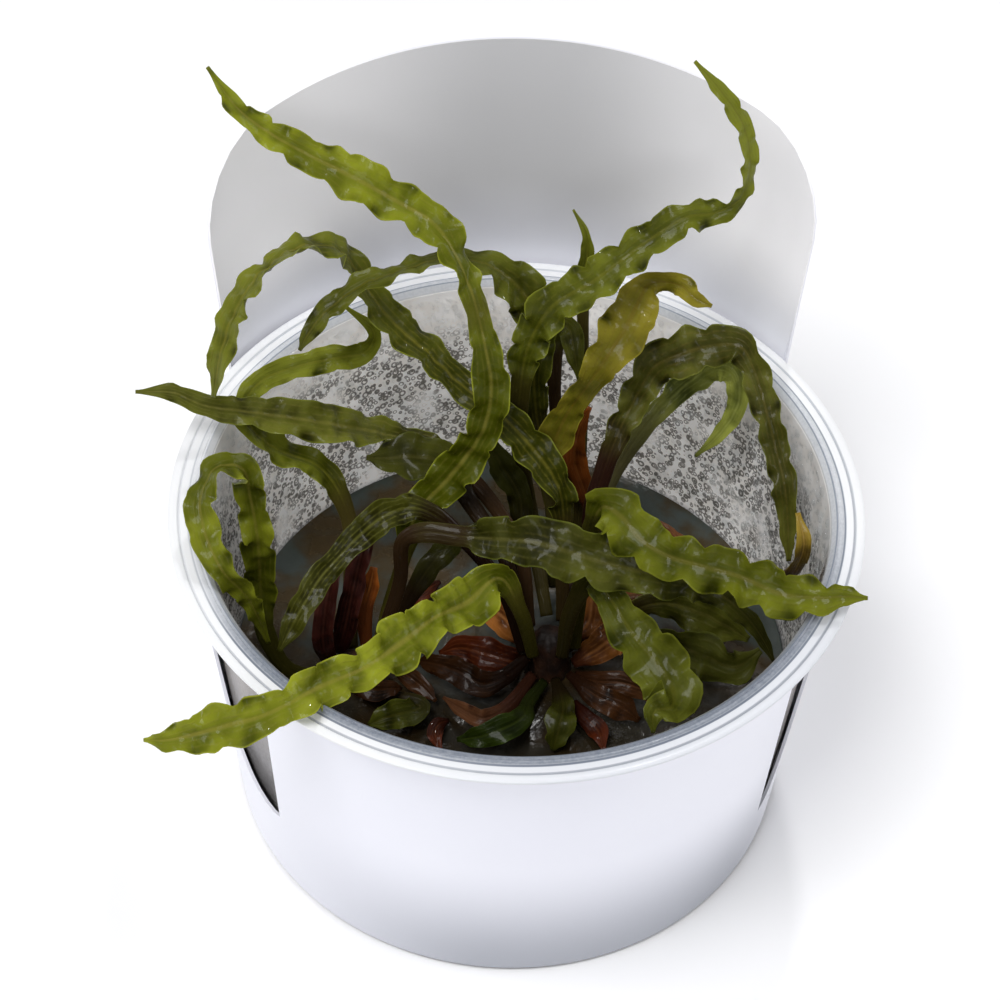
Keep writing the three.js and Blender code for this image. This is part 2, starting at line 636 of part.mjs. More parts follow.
      [12.5, 31.5, 23.3, 0.4, 0], [13.8, 33.2, 24.2, 1.3, 0], [15.4, 35.2, 24.2, 1.3, 0], [17, 37, 23.5, 0.3, 0],
    ],
  },
};

// A leaf is a closed ribbon of diamond section: a stiff stalk that widens into a blade
// with a raised midrib, ruffled margins and a pointed tip
const bladeStep = 2.5;
const stalkStep = 4.5;
const stalkHalfWidth = 1.3;
const stalkDepth = 0.75;
const bladeDepth = 0.42;
const tipDepth = 0.25;
const ruffleLength = 9;
const ruffleHeight = 0.3;
const fold = 0.16;

function leafGeometry(rows) {
  const curve = new THREE.CatmullRomCurve3(rows.map(([x, y, z]) => new THREE.Vector3(x, y, z)), false, "centripetal");
  curve.arcLengthDivisions = 400;
  const length = curve.getLength();
  const between = (run, column) => {
    const place = curve.getUtoTmapping(run / length) * (rows.length - 1);
    const k = Math.min(rows.length - 2, Math.floor(place));
    return rows[k][column] + (rows[k + 1][column] - rows[k][column]) * smooth(place - k);
  };
  const runs = [0];
  while (runs.at(-1) < length) {
    const wide = between(runs.at(-1), 3) > stalkHalfWidth;
    runs.push(runs.at(-1) + (wide ? bladeStep : stalkStep));
  }
  const count = runs.length - 1;
  const scale = length / runs[count];
  const stations = [];
  let previous = null;
  for (const step of runs) {
    const run = Math.min(length, step * scale);
    const t = curve.getUtoTmapping(run / length);
    const width = between(run, 3);
    const tilt = between(run, 4);
    const tangent = curve.getTangent(t);
    const across = new THREE.Vector3().crossVectors(facing, tangent).normalize();
    if (previous && across.dot(previous) < 0) across.negate();
    previous = across.clone();
    across.applyAxisAngle(tangent, tilt * radians);
    stations.push({ at: curve.getPoint(t), tangent, across, width, run });
  }
  const points = [];
  stations.forEach((s, i) => {
    const before = stations[Math.max(0, i - 1)];
    const after = stations[Math.min(count, i + 1)];
    const across = s.across.clone().add(before.across).add(after.across);
    across.addScaledVector(s.tangent, -across.dot(s.tangent)).normalize();
    const normal = new THREE.Vector3().crossVectors(s.tangent, across);
    const bend = after.tangent.clone().sub(before.tangent).divideScalar(Math.max(0.1, after.run - before.run));
    const towards = bend.dot(across);
    const blade = smooth((s.width - stalkHalfWidth) / 0.9);
    const depth = s.width < 0.8 ? tipDepth : stalkDepth + (bladeDepth - stalkDepth) * blade;
    const wave = ((2 * Math.PI) / ruffleLength) * s.run;
    for (const [side, phase] of [[1, 0], [-1, 1.9]]) {
      const room = side * towards > 0.02 ? 0.8 / Math.abs(towards) : 100;
      const reach = Math.min(room, s.width * (1 + 0.08 * blade * Math.sin(wave + phase)));
      const lift = blade * s.width * (fold + ruffleHeight * Math.sin(wave + phase));
      const edge = s.at.clone().addScaledVector(across, side * reach).addScaledVector(normal, lift);
      const ridge = s.at.clone().addScaledVector(normal, side * depth);
      points.push(edge.toArray(), ridge.toArray());
    }
  });
  const triangles = [];
  for (let i = 0; i < count; i++) {
    for (let k = 0; k < 4; k++) {
      const a = 4 * i + k;
      const b = 4 * i + ((k + 1) % 4);
      if (k % 2) triangles.push([a, b, a + 4], [b, b + 4, a + 4]);
      else triangles.push([a, b, b + 4], [a, b + 4, a + 4]);
    }
  }
  const last = 4 * count;
  triangles.push([0, 2, 1], [0, 3, 2], [last, last + 1, last + 2], [last, last + 2, last + 3]);
  return solid(points, triangles);
}

add("cup", cupGeometry(), { color: 0xdfe6ea, roughness: 0.15, opacity: 0.35 });
add("label", labelGeometry(), { color: 0xe6e8f2, roughness: 0.6 });
add("gel", gelGeometry(), { color: 0x7d93a0, roughness: 0.1, opacity: 0.6 });
for (const [name, crown] of Object.entries(crowns)) {
  add(name, crownGeometry(crown), { color: crown.color, roughness: 0.6 });
}
for (const [name, leaf] of Object.entries(leaves)) {
  add(name, leafGeometry(leaf.rows), { color: leaf.color, roughness: 0.35 });
}

export default part;
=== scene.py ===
import math
import random
from bisect import bisect_right

import bmesh
import bpy
from mathutils import Matrix, Quaternion, Vector, noise


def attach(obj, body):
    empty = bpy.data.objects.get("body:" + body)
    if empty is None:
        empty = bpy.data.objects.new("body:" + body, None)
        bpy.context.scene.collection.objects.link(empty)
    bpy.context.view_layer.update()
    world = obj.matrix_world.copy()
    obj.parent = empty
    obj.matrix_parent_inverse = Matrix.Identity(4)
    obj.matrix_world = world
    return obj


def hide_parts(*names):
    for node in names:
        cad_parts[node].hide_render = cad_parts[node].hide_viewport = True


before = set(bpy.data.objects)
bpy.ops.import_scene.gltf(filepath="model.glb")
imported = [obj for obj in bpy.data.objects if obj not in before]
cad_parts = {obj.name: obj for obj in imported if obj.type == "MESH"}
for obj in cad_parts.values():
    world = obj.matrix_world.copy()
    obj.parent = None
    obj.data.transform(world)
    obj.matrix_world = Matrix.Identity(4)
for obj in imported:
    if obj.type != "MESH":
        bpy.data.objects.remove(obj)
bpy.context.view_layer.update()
scene = bpy.context.scene
mm = 0.001  # every length below is in millimetres, and mm makes it metres

# Camera, at the photograph's viewing angle
viewpoint = {
    "place": (-2.6, -282.7, 375.1),
    "target": (-2.6, 0, 60.6),
    "roll": 1.98,
    "lens": 100.9,
    "near": 10,
}


def placeCamera(view):
    eye = Vector(view["place"])
    forward = (Vector(view["target"]) - eye).normalized()
    level = forward.cross(Vector((0, 0, 1))).normalized()
    steep = level.cross(forward)
    roll = math.radians(view["roll"])
    right = level * math.cos(roll) + steep * math.sin(roll)
    up = steep * math.cos(roll) - level * math.sin(roll)
    camera = bpy.data.objects.new("camera", bpy.data.cameras.new("camera"))
    camera.data.lens = view["lens"]
    camera.data.clip_start = view["near"] * mm
    turn = Matrix((right, up, -forward)).transposed().to_4x4()
    camera.matrix_world = Matrix.Translation(eye * mm) @ turn
    scene.collection.objects.link(camera)
    scene.camera = camera


placeCamera(viewpoint)
scene.view_settings.view_transform = "Standard"

# Soft studio light: a pale room, a wide lamp above, one in front, one at each side and a small one behind
studio = {
    "room": ((0.98, 0.98, 1.0), 0.32),
    "lamps": {
        "top": {"place": (-380, -480, 1400), "aim": (0, 0, 50), "size": 620, "watts": 13.5},
        "front": {"place": (180, -1300, 800), "aim": (0, -20, 40), "size": 500, "watts": 3},
        "left": {"place": (-1250, 150, 650), "aim": (0, 0, 60), "size": 500, "watts": 2.8},
        "right": {"place": (1250, 50, 550), "aim": (0, 0, 60), "size": 500, "watts": 3.4},
        "glint": {"place": (120, 420, 900), "aim": (0, 0, 60), "size": 50, "watts": 1.5},
    },
}


def lightRoom(settings):
    colour, strength = settings["room"]
    world = bpy.data.worlds.new("room")
    world.use_nodes = True
    background = world.node_tree.nodes["Background"]
    background.inputs["Color"].default_value = (*colour, 1)
    background.inputs["Strength"].default_value = strength
    scene.world = world
    for name, lamp in settings["lamps"].items():
        data = bpy.data.lights.new(name, "AREA")
        data.size = lamp["size"] * mm
        data.energy = lamp["watts"]
        light = bpy.data.objects.new(name, data)
        light.location = Vector(lamp["place"]) * mm
        aim = Vector(lamp["aim"]) * mm - light.location
        light.rotation_euler = aim.to_track_quat("-Z", "Y").to_euler()
        scene.collection.objects.link(light)


lightRoom(studio)
print("camera and lights are set")


# Shader maths: a wire is one socket, and sums of wires add Math nodes
class Wire:
    def __init__(self, finish, socket):
        self.finish = finish
        self.socket = socket

    def math(self, operation, *others):
        values = dict(enumerate((self, *others)))
        return self.finish.node("ShaderNodeMath", {"operation": operation}, values)

    def __add__(self, other):
        return self.math("ADD", other)

    def __sub__(self, other):
        return self.math("SUBTRACT", other)

    def __mul__(self, other):
        return self.math("MULTIPLY", other)

    def __truediv__(self, other):
        return self.math("DIVIDE", other)

    def __rsub__(self, other):
        return self.finish.node("ShaderNodeMath", {"operation": "SUBTRACT"}, {0: other, 1: self})

    __radd__ = __add__
    __rmul__ = __mul__

    def power(self, exponent):
        return self.math("POWER", exponent)

    def size(self):
        return self.math("ABSOLUTE")

    def max(self, other):
        return self.math("MAXIMUM", other)

    def wave(self):
        return self.math("SINE") * 0.5 + 0.5

    def over(self, low, high):
        # 0 below low, 1 above high, smooth between
        span = {"interpolation_type": "SMOOTHSTEP"}
        ends = {"Value": self, "From Min": low, "From Max": high}
        return self.finish.node("ShaderNodeMapRange", span, ends)

    def under(self, low, high):
        return 1 - self.over(low, high)


class Finish:
    def __init__(self, name):
        self.material = bpy.data.materials.new(name)
        self.material.use_nodes = True
        self.tree = self.material.node_tree
        self.tree.nodes.clear()
        self.shader = self.tree.nodes.new("ShaderNodeBsdfPrincipled")
        self.output = self.tree.nodes.new("ShaderNodeOutputMaterial")
        self.tree.links.new(self.shader.outputs[0], self.output.inputs["Surface"])

    def node(self, kind, settings, sockets, output=0):
        made = self.tree.nodes.new(kind)
        for name, value in settings.items():
            setattr(made, name, value)
        for name, value in sockets.items():
            self.plug(made.inputs[name], value)
        return Wire(self, made.outputs[output])

    def plug(self, socket, value):
        if isinstance(value, Wire):
            self.tree.links.new(value.socket, socket)
        else:
            socket.default_value = value

    def attribute(self, name):
        return self.node("ShaderNodeAttribute", {"attribute_name": name}, {}, "Fac")

    def place(self):
        return self.node("ShaderNodeTexCoord", {}, {}, "Object")

    def noise(self, grain, detail=3, offset=0):
        # grain is the size of one blotch
        spot = {"Vector": self.place(), "Location": (offset, offset, 0)}
        where = self.node("ShaderNodeMapping", {}, spot)
        sockets = {"Vector": where, "Scale": 1 / (grain * mm), "Detail": detail}
        return self.node("ShaderNodeTexNoise", {}, sockets)

    def axis(self, letter):
        # one coordinate in millimetres
        return self.node("ShaderNodeSeparateXYZ", {}, {0: self.place()}, letter) / mm

    def rings(self, grain):
        # small ring marks scattered like drops, used as painted dark drop rims, 1 on each ring
        sockets = {"Vector": self.place(), "Scale": 1 / (grain * mm)}
        far = self.node("ShaderNodeTexVoronoi", {}, sockets, "Distance")
        return far.over(0.16, 0.3) * far.under(0.36, 0.5)

    def blend(self, share, first, second):
        return self.node("ShaderNodeMix", {"data_type": "RGBA"}, {0: share, 6: first, 7: second}, 2)

    def paints(self, share, colours):
        # from the first of two screen colours to the second
        return self.blend(share, paint(*colours[0]), paint(*colours[1]))

    def bump(self, height, strength, depth):
        sockets = {"Height": height, "Strength": strength, "Distance": depth * mm}
        self.set({"Normal": self.node("ShaderNodeBump", {}, sockets)})

    def set(self, sockets):
        for name, value in sockets.items():
            self.plug(self.shader.inputs[name], value)
        return self.material

    def mixShader(self, share, sockets):
        # a second plain shader takes over where share is 1
        first = Wire(self, self.shader.outputs[0])
        second = self.node("ShaderNodeBsdfPrincipled", {}, sockets)
        both = self.node("ShaderNodeMixShader", {}, {0: share, 1: first, 2: second})
        self.tree.links.new(both.socket, self.output.inputs["Surface"])
        return self.material


def paint(red, green, blue):
    # a screen colour of 0 to 255 as the linear colour that a shader takes
    def linear(value):
        value /= 255
        return value / 12.92 if value <= 0.04045 else ((value + 0.055) / 1.055) ** 2.4

    return (linear(red), linear(green), linear(blue), 1)


def clamp01(value):
    return min(1, max(0, value))


def smooth(value):
    value = clamp01(value)
    return value * value * (3 - 2 * value)


def finishPiece(name, bm, material, replaced=(), creaseAngle=None):
    bmesh.ops.scale(bm, vec=(mm, mm, mm), verts=bm.verts)
    mesh = bpy.data.meshes.new(name)
    bm.to_mesh(mesh)
    bm.free()
    mesh.polygons.foreach_set("use_smooth", [True] * len(mesh.polygons))
    if creaseAngle:
        mesh.set_sharp_from_angle(angle=math.radians(creaseAngle))
    mesh.materials.append(material)
    piece = bpy.data.objects.new(name, mesh)
    scene.collection.objects.link(piece)
    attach(piece, "root")
    if replaced:
        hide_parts(*replaced)


# Floor
floor = {"width": 6000, "colours": ((250, 250, 251), (253, 253, 254)), "grain": 60, "roughness": 0.6}


def floorFinish():
    finish = Finish("pale_floor")
    colour = finish.paints(finish.noise(floor["grain"]), floor["colours"])
    return finish.set({"Base Color": colour, "Roughness": floor["roughness"]})


def layFloor():
    bm = bmesh.new()
    bmesh.ops.create_grid(bm, x_segments=1, y_segments=1, size=floor["width"] / 2 * mm)
    mesh = bpy.data.meshes.new("floor")
    bm.to_mesh(mesh)
    bm.free()
    mesh.materials.append(floorFinish())
    ground = bpy.data.objects.new("floor", mesh)
    scene.collection.objects.link(ground)


layFloor()
print("floor laid")


# Cup: a clear thin wall turned from its section, with a flange and a raised lip
cup = {
    "height": 60.7,
    "footRadius": 43.4,
    "footRound": 1.4,
    "wallTaper": 0.08,
    "wallThickness": 0.9,
    "wallBend": 1.6,
    "floorThickness": 1.0,
    "flangeRadius": 52.49,
    "flangeThickness": 0.9,
    # the groove, then the lip with its fine steps, as radius and rise over the cup's height
    "rim": [
        (51.2, -0.12), (50.95, -0.4), (50.7, -0.12), (49.55, -0.3), (49.2, 0),
        (48.75, 0.05), (48.55, -0.12), (48.35, 0.2), (48.2, 0.2), (47.7, -0.5),
    ],
    "segments": 160,
    "rounding": 0.07,
    "roundOver": 24,
    "crease": 40,
    # its look: colours, and spans from where a tone begins to where it is full
    "clear": ((246, 248, 251), (236, 240, 246)),
    "slitShadeTone": (84, 72, 62),
    "slitShadeRamp": ((38, 34, 33), (134, 122, 112)),
    "slitSide": (33, 37),
    "slitFront": (-10, -4),
    "slitTop": (58.8, 59.6),
    "slitRise": (14, 52),
    "fog": ((254, 252, 250), (232, 228, 223)),
    "fogBack": (-14, 4),
    "fogRise": (21, 24),
    "beadRimShade": (110, 106, 100),
    "beadGrains": (0.95, 1.45),
    "beadTop": (54, 62),
    "flangeTone": ((250, 251, 253), (222, 225, 232)),
    "flangeRise": (59.7, 60.1),
    "flangeFoot": (57.8, 58.3),
    "outside": (47.5, 47.7),
    "flangeShadeSide": (-30, 15),
    "flangeShadeFront": (-25, 0),
    "lipShadeTones": ((150, 158, 170), (118, 126, 140)),
    "lipFront": (-35, 10),
    "lipLeft": (-49, -36),
    "lipEdge": (49.2, 49.6),
    "grooveRadius": 50.95,
    "lipLines": ((49.5, 0.25), (48.25, 0.2)),  # radius and width
    "glowBack": (4, 32),
    "glowSide": (26, 42),
    "glow": 0.2,
}


def outerWall(z):
    return cup["footRadius"] + cup["wallTaper"] * z


def innerWall(z):
    return outerWall(z) - cup["wallThickness"]


def turnProfile(profile, segments):
    # spins [radius, height] points round the vertical axis into a closed body
    bm = bmesh.new()
    points = [bm.verts.new((radius, 0, height)) for radius, height in profile]
    for first, second in zip(points, points[1:]):
        bm.edges.new((first, second))
    geometry = bm.verts[:] + bm.edges[:]
    bmesh.ops.spin(
        bm, geom=geometry, cent=(0, 0, 0), axis=(0, 0, 1), angle=2 * math.pi, steps=segments, use_merge=True
    )
    bmesh.ops.remove_doubles(bm, verts=bm.verts, dist=0.001)
    bmesh.ops.recalc_face_normals(bm, faces=bm.faces)
    return bm


def roundCorners(bm, offset, sharpness):
    sharp = [edge for edge in bm.edges if edge.is_manifold and edge.calc_face_angle(0) > sharpness]
    bmesh.ops.bevel(
        bm, geom=sharp, offset=offset, offset_type="OFFSET", segments=2, profile=0.5, affect="EDGES",
        material=-1, clamp_overlap=True,
    )


def lipShadeShare(finish, radius, front, scuff):
    # how much painted shade greys the lip, its lines and the groove: most at the front, and faint at the
    # left
    def line(middle, width):
        return (radius - middle).size().under(0.05, width)

    outer, inner = cup["lipLines"]
    edges = line(*outer).max(line(*inner))
    groove = (radius - cup["grooveRadius"]).size().under(0.1, 0.3)
    body = radius.under(*cup["lipEdge"]) * (0.2 + front * 0.5 + scuff * 0.4)
    left = 0.4 + 0.6 * finish.axis("X").over(*cup["lipLeft"])
    return body.max(edges * 1.2).max(groove * 0.6) * left


def cupFinish():
    finish = Finish("clear_cup")
    haze = finish.noise(3.5, 4)
    scuff = finish.noise(0.5, 2)
    side = finish.axis("X")
    depth = finish.axis("Y")
    height = finish.axis("Z")
    radius = (side.power(2) + depth.power(2)).power(0.5)
    finish.bump(scuff, 0.06, 0.1)
    # painted shade: the wall is painted dark brown where the label's slits lay it bare, for the shaded
    # inside seen through it
    slits = side.size().over(*cup["slitSide"]) * depth.under(*cup["slitFront"])
    slits = slits * height.under(*cup["slitTop"])
    finish.set({
        "Base Color": finish.blend(slits * 0.9, finish.paints(haze, cup["clear"]), paint(*cup["slitShadeTone"])),
        "Roughness": 0.05 + haze * 0.08,
        "IOR": 1.42,
        "Transmission Weight": 0.78,
    })
    # the wall above the gel is fogged and beaded towards the back; the beads are painted dark rings, the
    # shade at the rims of drops
    fog = depth.over(*cup["fogBack"]) * height.over(*cup["fogRise"]) * (0.86 + haze * 0.2)
    small, large = cup["beadGrains"]
    beads = finish.rings(small).max(finish.rings(large)) * finish.noise(9, 3).over(0.26, 0.5)
    beads = beads * (height + haze * 14).under(*cup["beadTop"])
    grey = finish.paints(haze.over(0.3, 0.7), cup["fog"])
    grey = finish.blend(beads * (0.5 + haze), grey, paint(*cup["beadRimShade"]))
    # painted shade in the slits, darkest at the bottom and lighter upwards
    grey = finish.blend(slits, grey, finish.paints(height.over(*cup["slitRise"]), cup["slitShadeRamp"]))
    # the flange is milky, with painted shade darkening it at the front right, and the lip on it is greyer
    # with painted shade
    under = height.over(*cup["flangeFoot"]) * radius.over(*cup["outside"])
    flange = height.over(*cup["flangeRise"]).max(under)
    front = depth.under(*cup["lipFront"])
    flangeShade = side.over(*cup["flangeShadeSide"]) * depth.under(*cup["flangeShadeFront"]) * 0.8
    white = finish.paints(flangeShade, cup["flangeTone"])
    lipShadeColour = finish.paints(front, cup["lipShadeTones"])
    white = finish.blend(lipShadeShare(finish, radius, front, scuff), white, lipShadeColour)
    tone = finish.blend(flange, grey, white)
    # painted light: the wall glows towards the back, as if daylight came through the pale card behind
    glow = depth.over(*cup["glowBack"]) * (1 - flange * 0.6) * (1 - side.over(*cup["glowSide"]) * 0.5)
    milky = {
        "Base Color": tone,
        "Roughness": 0.25 + scuff * 0.2,
        "IOR": 1.42,
        "Transmission Weight": 0.12,
        "Emission Color": finish.blend(glow, paint(0, 0, 0), tone),
        "Emission Strength": cup["glow"],
    }
    fogged = (fog * (1 - flange)).max(slits * 0.6)
    return finish.mixShader(fogged.max(flange * 0.95), milky)


def makeCup():
    top, foot, base = cup["height"], cup["footRadius"], cup["floorThickness"]
    under = top - cup["flangeThickness"]
    flange, bend = cup["flangeRadius"], cup["wallBend"]
    profile = [
        (0, 0), (foot - cup["footRound"], 0), (foot - 0.4, 0.4), (outerWall(bend), bend),
        (outerWall(under - bend), under - bend), (outerWall(under) + 0.6, under), (flange - 0.2, under),
        (flange, under + 0.35), (flange, top - 0.2), (flange - 0.5, top - 0.1),
        *[(radius, top + rise) for radius, rise in cup["rim"]],
        (innerWall(top - 1), top - 1), (innerWall(base + 1), base + 1), (innerWall(base) - 1.2, base),
        (0, base),
    ]
    bm = turnProfile(profile, cup["segments"])
    roundCorners(bm, cup["rounding"], math.radians(cup["roundOver"]))
    finishPiece("clear_cup", bm, cupFinish(), ["cup"], cup["crease"])


makeCup()
print("cup made")


# Label: one card, a sleeve round the cup whose back half is cut free and stands up behind it
label = {
    "thickness": 0.5,
    "gap": 0.4,
    "bottom": 0.8,
    "top": 58,
    # edges of the open slits at the cup's sides, as angle from the back and height
    "leftSlit": [
        (-131.5, 58), (-130, 18), (-127.5, 17.2), (-125, 17.2), (-122, 17.6), (-119, 18.5),
        (-114, 21), (-110, 25), (-106.5, 33), (-104, 44), (-102.5, 58),
    ],
    "rightSlit": [
        (99.5, 58), (101, 42), (103.5, 31), (107, 23), (111, 17.5), (115, 14), (118.5, 13), (120, 58),
    ],
    "headerTop": 102.5,
    "headerArch": 4.8,
    "headerLean": 4.8,
    "headerSlope": 0.1,
    "headerRadius": 56,
    "headerLeft": -58.8,
    "headerRight": 51.7,
    "headerFoot": [(0.6, 58), (0.1, 70)],  # degrees out from its sides, and height
    "leanStart": 14,
    "leanPower": 1.2,
    "leanEnds": 118,
    "leanFade": 55,
    "corner": 14,
    "cornerStep": 15,
    "archSteps": 36,
    "stepAngle": 1.5,
    "rows": 36,
    "crease": 50,
    # its look
    "sleeve": ((242, 243, 251), (237, 238, 248)),
    "low": (168, 171, 180),
    "footShadeRise": (2, 32),
    "footShadeSide": (-44, 0),
    "lowFront": (-30, -5),
    "header": ((206, 206, 208), (248, 247, 249)),
    "headerShadeSide": (4, 40),
    "headerRise": (60, 78),
    "daylight": (247, 247, 250),
    "glowSide": (10, 42),
    "glowRise": (70, 96),
    "glow": 0.16,
}


def headerEdge():
    # outline of the header as angle and height, its top arched and its corners round
    left, right, corner = label["headerLeft"], label["headerRight"], label["corner"]
    middle = (left + right) / 2
    half = (right - left) / 2
    width = math.degrees(corner / label["headerRadius"])
    turns = [math.radians(degrees) for degrees in range(90, 0, -label["cornerStep"])]
    rounds = [(width * (1 - math.sin(turn)), corner * (1 - math.cos(turn))) for turn in turns]
    steps = label["archSteps"]
    outline = [(left + inset, drop) for inset, drop in rounds]
    outline += [(left + width + 2 * (half - width) * i / steps, 0) for i in range(steps + 1)]
    outline += [(right - inset, drop) for inset, drop in reversed(rounds)]
    high, arch = label["headerTop"], label["headerArch"]
    return [(angle, high - arch * ((angle - middle) / half) ** 2 - drop) for angle, drop in outline]


def labelEdge():
    # how high the card reaches at each angle in degrees from the back
    left, right, foot = label["headerLeft"], label["headerRight"], label["headerFoot"]
    leftFoot = [(left - out, z) for out, z in foot]
    rightFoot = [(right + out, z) for out, z in reversed(foot)]
    ends = [(side * 180, label["top"]) for side in (-1, 1)]
    header = [*leftFoot, *headerEdge(), *rightFoot]
    return [ends[0], *label["leftSlit"], *header, *label["rightSlit"], ends[1]]


def labelRadius(angle, z):
    side = smooth((label["leanEnds"] - abs(angle)) / label["leanFade"])
    rise = clamp01((z - label["leanStart"]) / (cup["height"] - label["leanStart"]))
    lean = label["headerLean"] * side * rise ** label["leanPower"]
    onWall = outerWall(min(z, cup["height"])) + label["gap"]
    return onWall + lean + label["headerSlope"] * max(0, z - cup["height"])


def labelFinish():
    finish = Finish("white_card")
    fibre = finish.noise(0.35, 3)
    side = finish.axis("X")
    height = finish.axis("Z")
    header = height.over(*label["headerRise"]) * (1 - finish.attribute("outside"))
    # painted shade: the sleeve is darker towards its foot, at the front and towards the right
    low = height.under(*label["footShadeRise"]) * side.over(*label["footShadeSide"])
    low = low * finish.axis("Y").under(*label["lowFront"])
    sleeve = finish.paints(finish.noise(28, 2), label["sleeve"])
    sleeve = finish.blend(low, sleeve, paint(*label["low"]))
    # painted shade: the header is greyer in its middle and paler towards its sides
    behind = finish.paints(side.size().over(*label["headerShadeSide"]), label["header"])
    # painted light: the header glows at its sides, lower down, as if daylight came through the card
    glow = header * side.size().over(*label["glowSide"]) * height.under(*label["glowRise"])
    finish.bump(fibre, 0.08, 0.1)
    return finish.set({
        "Base Color": finish.blend(header, sleeve, behind),
        "Roughness": 0.34 + fibre * 0.12,
        "IOR": 1.45,
        "Coat Roughness": 0.2,
        "Coat Weight": 0.15,
        "Emission Color": finish.blend(glow, paint(0, 0, 0), paint(*label["daylight"])),
        "Emission Strength": label["glow"],
    })


def makeLabel():
    edge = labelEdge()
    columns = []
    for (angle, top), (nextAngle, nextTop) in zip(edge, edge[1:]):
        steps = max(1, round((nextAngle - angle) / label["stepAngle"]))
        turn, rise = nextAngle - angle, nextTop - top
        columns += [(angle + turn * i / steps, top + rise * i / steps) for i in range(steps)]
    columns.append(edge[-1])
    upward = [row / label["rows"] for row in range(label["rows"] + 1)]
    around = [(share, 0) for share in upward] + [(share, 1) for share in reversed(upward)] + [(0, 0)]
    bm = bmesh.new()
    bmesh.ops.create_grid(bm, x_segments=len(columns) - 1, y_segments=len(around) - 1, size=1)
    bm.verts.ensure_lookup_table()
    outside = bm.verts.layers.float.new("outside")
    for index, vert in enumerate(bm.verts):
        row, column = divmod(index, len(columns))
        angle, top = columns[column]
        share, outward = around[row]
        z = label["bottom"] + (top - label["bottom"]) * share
        turn = math.radians(angle)
        radius = labelRadius(angle, z) + outward * label["thickness"]
        vert.co = (radius * math.sin(turn), radius * math.cos(turn), z)
        vert[outside] = outward
    bmesh.ops.remove_doubles(bm, verts=bm.verts, dist=0.001)
    bmesh.ops.recalc_face_normals(bm, faces=bm.faces)
    finishPiece("card_label", bm, labelFinish(), ["label"], label["crease"])


makeLabel()
print("label made")


# Gel: a bluish clear layer with a slightly uneven top, browner towards the front
gel = {
    "top": 22.2,
    "gap": 0.3,
    # its edge creeps up the wall, as how far inwards and how high over the top
    "meniscus": [(0, 0.8), (0.5, 0.4), (1.2, 0.15)],
    "flatFrom": 3,
    "ringStep": 2,
    "ringEnd": 39,
    "segments": 120,
    "unevenness": 0.35,
    "lump": 7,
    "crease": 45,
    "clear": ((60, 66, 56), (100, 108, 106)),
    "murk": (82, 62, 26),
    "front": (34, 23, 7),
    "frontEnd": (-4, 18),
}


def gelFinish():
    finish = Finish("bluish_gel")
    cloud = finish.noise(13, 4)
    murk = finish.noise(9, 4, 0.003).over(0.42, 0.62)
    colour = finish.blend(murk * 0.85, finish.paints(cloud, gel["clear"]), paint(*gel["murk"]))
    front = (finish.axis("Y") + cloud * 16).under(*gel["frontEnd"])
    colour = finish.blend(front * 0.85, colour, paint(*gel["front"]))
    finish.bump(finish.noise(1.6, 4), 0.35, 0.4)
    return finish.set({
        "Base Color": colour,
        "Roughness": 0.08 + murk * 0.2,
        "IOR": 1.34,
        "Specular IOR Level": 0.3,
        "Transmission Weight": 0.2,
        "Coat Weight": 0.06,
        "Coat Roughness": 0.06,
    })


def makeGel():
    top, gap = gel["top"], gel["gap"]
    bottom = cup["floorThickness"] + gap
    edge = innerWall(top) - gap
    rings = range(0, gel["ringEnd"], gel["ringStep"])
    profile = [
        (0, bottom), (innerWall(bottom) - 1.6, bottom), (innerWall(bottom + 1.4) - gap, bottom + 1.4),
        *[(edge - inward, top + rise) for inward, rise in gel["meniscus"]],
        *[(edge - gel["flatFrom"] - inward, top) for inward in rings], (0, top),
    ]
    bm = turnProfile(profile, gel["segments"])
    for vert in bm.verts:
        radius = Vector((vert.co.x, vert.co.y)).length
        if vert.co.z > top - 0.1 and radius < edge - 1:
            rough = noise.noise(vert.co / gel["lump"]) + 0.5 * noise.noise(vert.co / gel["lump"] * 2.7)
            vert.co.z += gel["unevenness"] * rough * clamp01((edge - 1 - radius) / 3)
    finishPiece("gel_layer", bm, gelFinish(), ["gel"], gel["crease"])


makeGel()
print("gel made")


# Crowns: short stems wrapped in the sheaths of old leaf stalks
crowns = {
    "crown_left": {"at": (-25, -5), "bottom": 17.5, "top": 28, "radius": (4, 2.4)},
    "crown_centre": {"at": (6, -1), "bottom": 17.5, "top": 31, "radius": (4.4, 2.6)},
    "crown_back": {"at": (10.5, 11), "bottom": 17.5, "top": 31, "radius": (4, 2.4)},
}
crownForm = {
    "segments": 40,
    "rings": 16,
    "sheaths": 7,
    "ridge": 0.14,
    "twist": 1.4,
    "foot": (0.4, 0.15),  # how far it pinches in, and over what share of the height
    "crest": (0.45, 0.12),
    "tones": ((28, 16, 9), (62, 36, 19)),
}


def crownFinish():
    finish = Finish("brown_crown")
    fibre = finish.noise(0.8, 5)
    colour = finish.paints(finish.noise(3.5, 4).over(0.35, 0.65), crownForm["tones"])
    finish.bump(fibre, 0.5, 0.4)
    return finish.set({"Base Color": colour, "Roughness": 0.45 + fibre * 0.25})


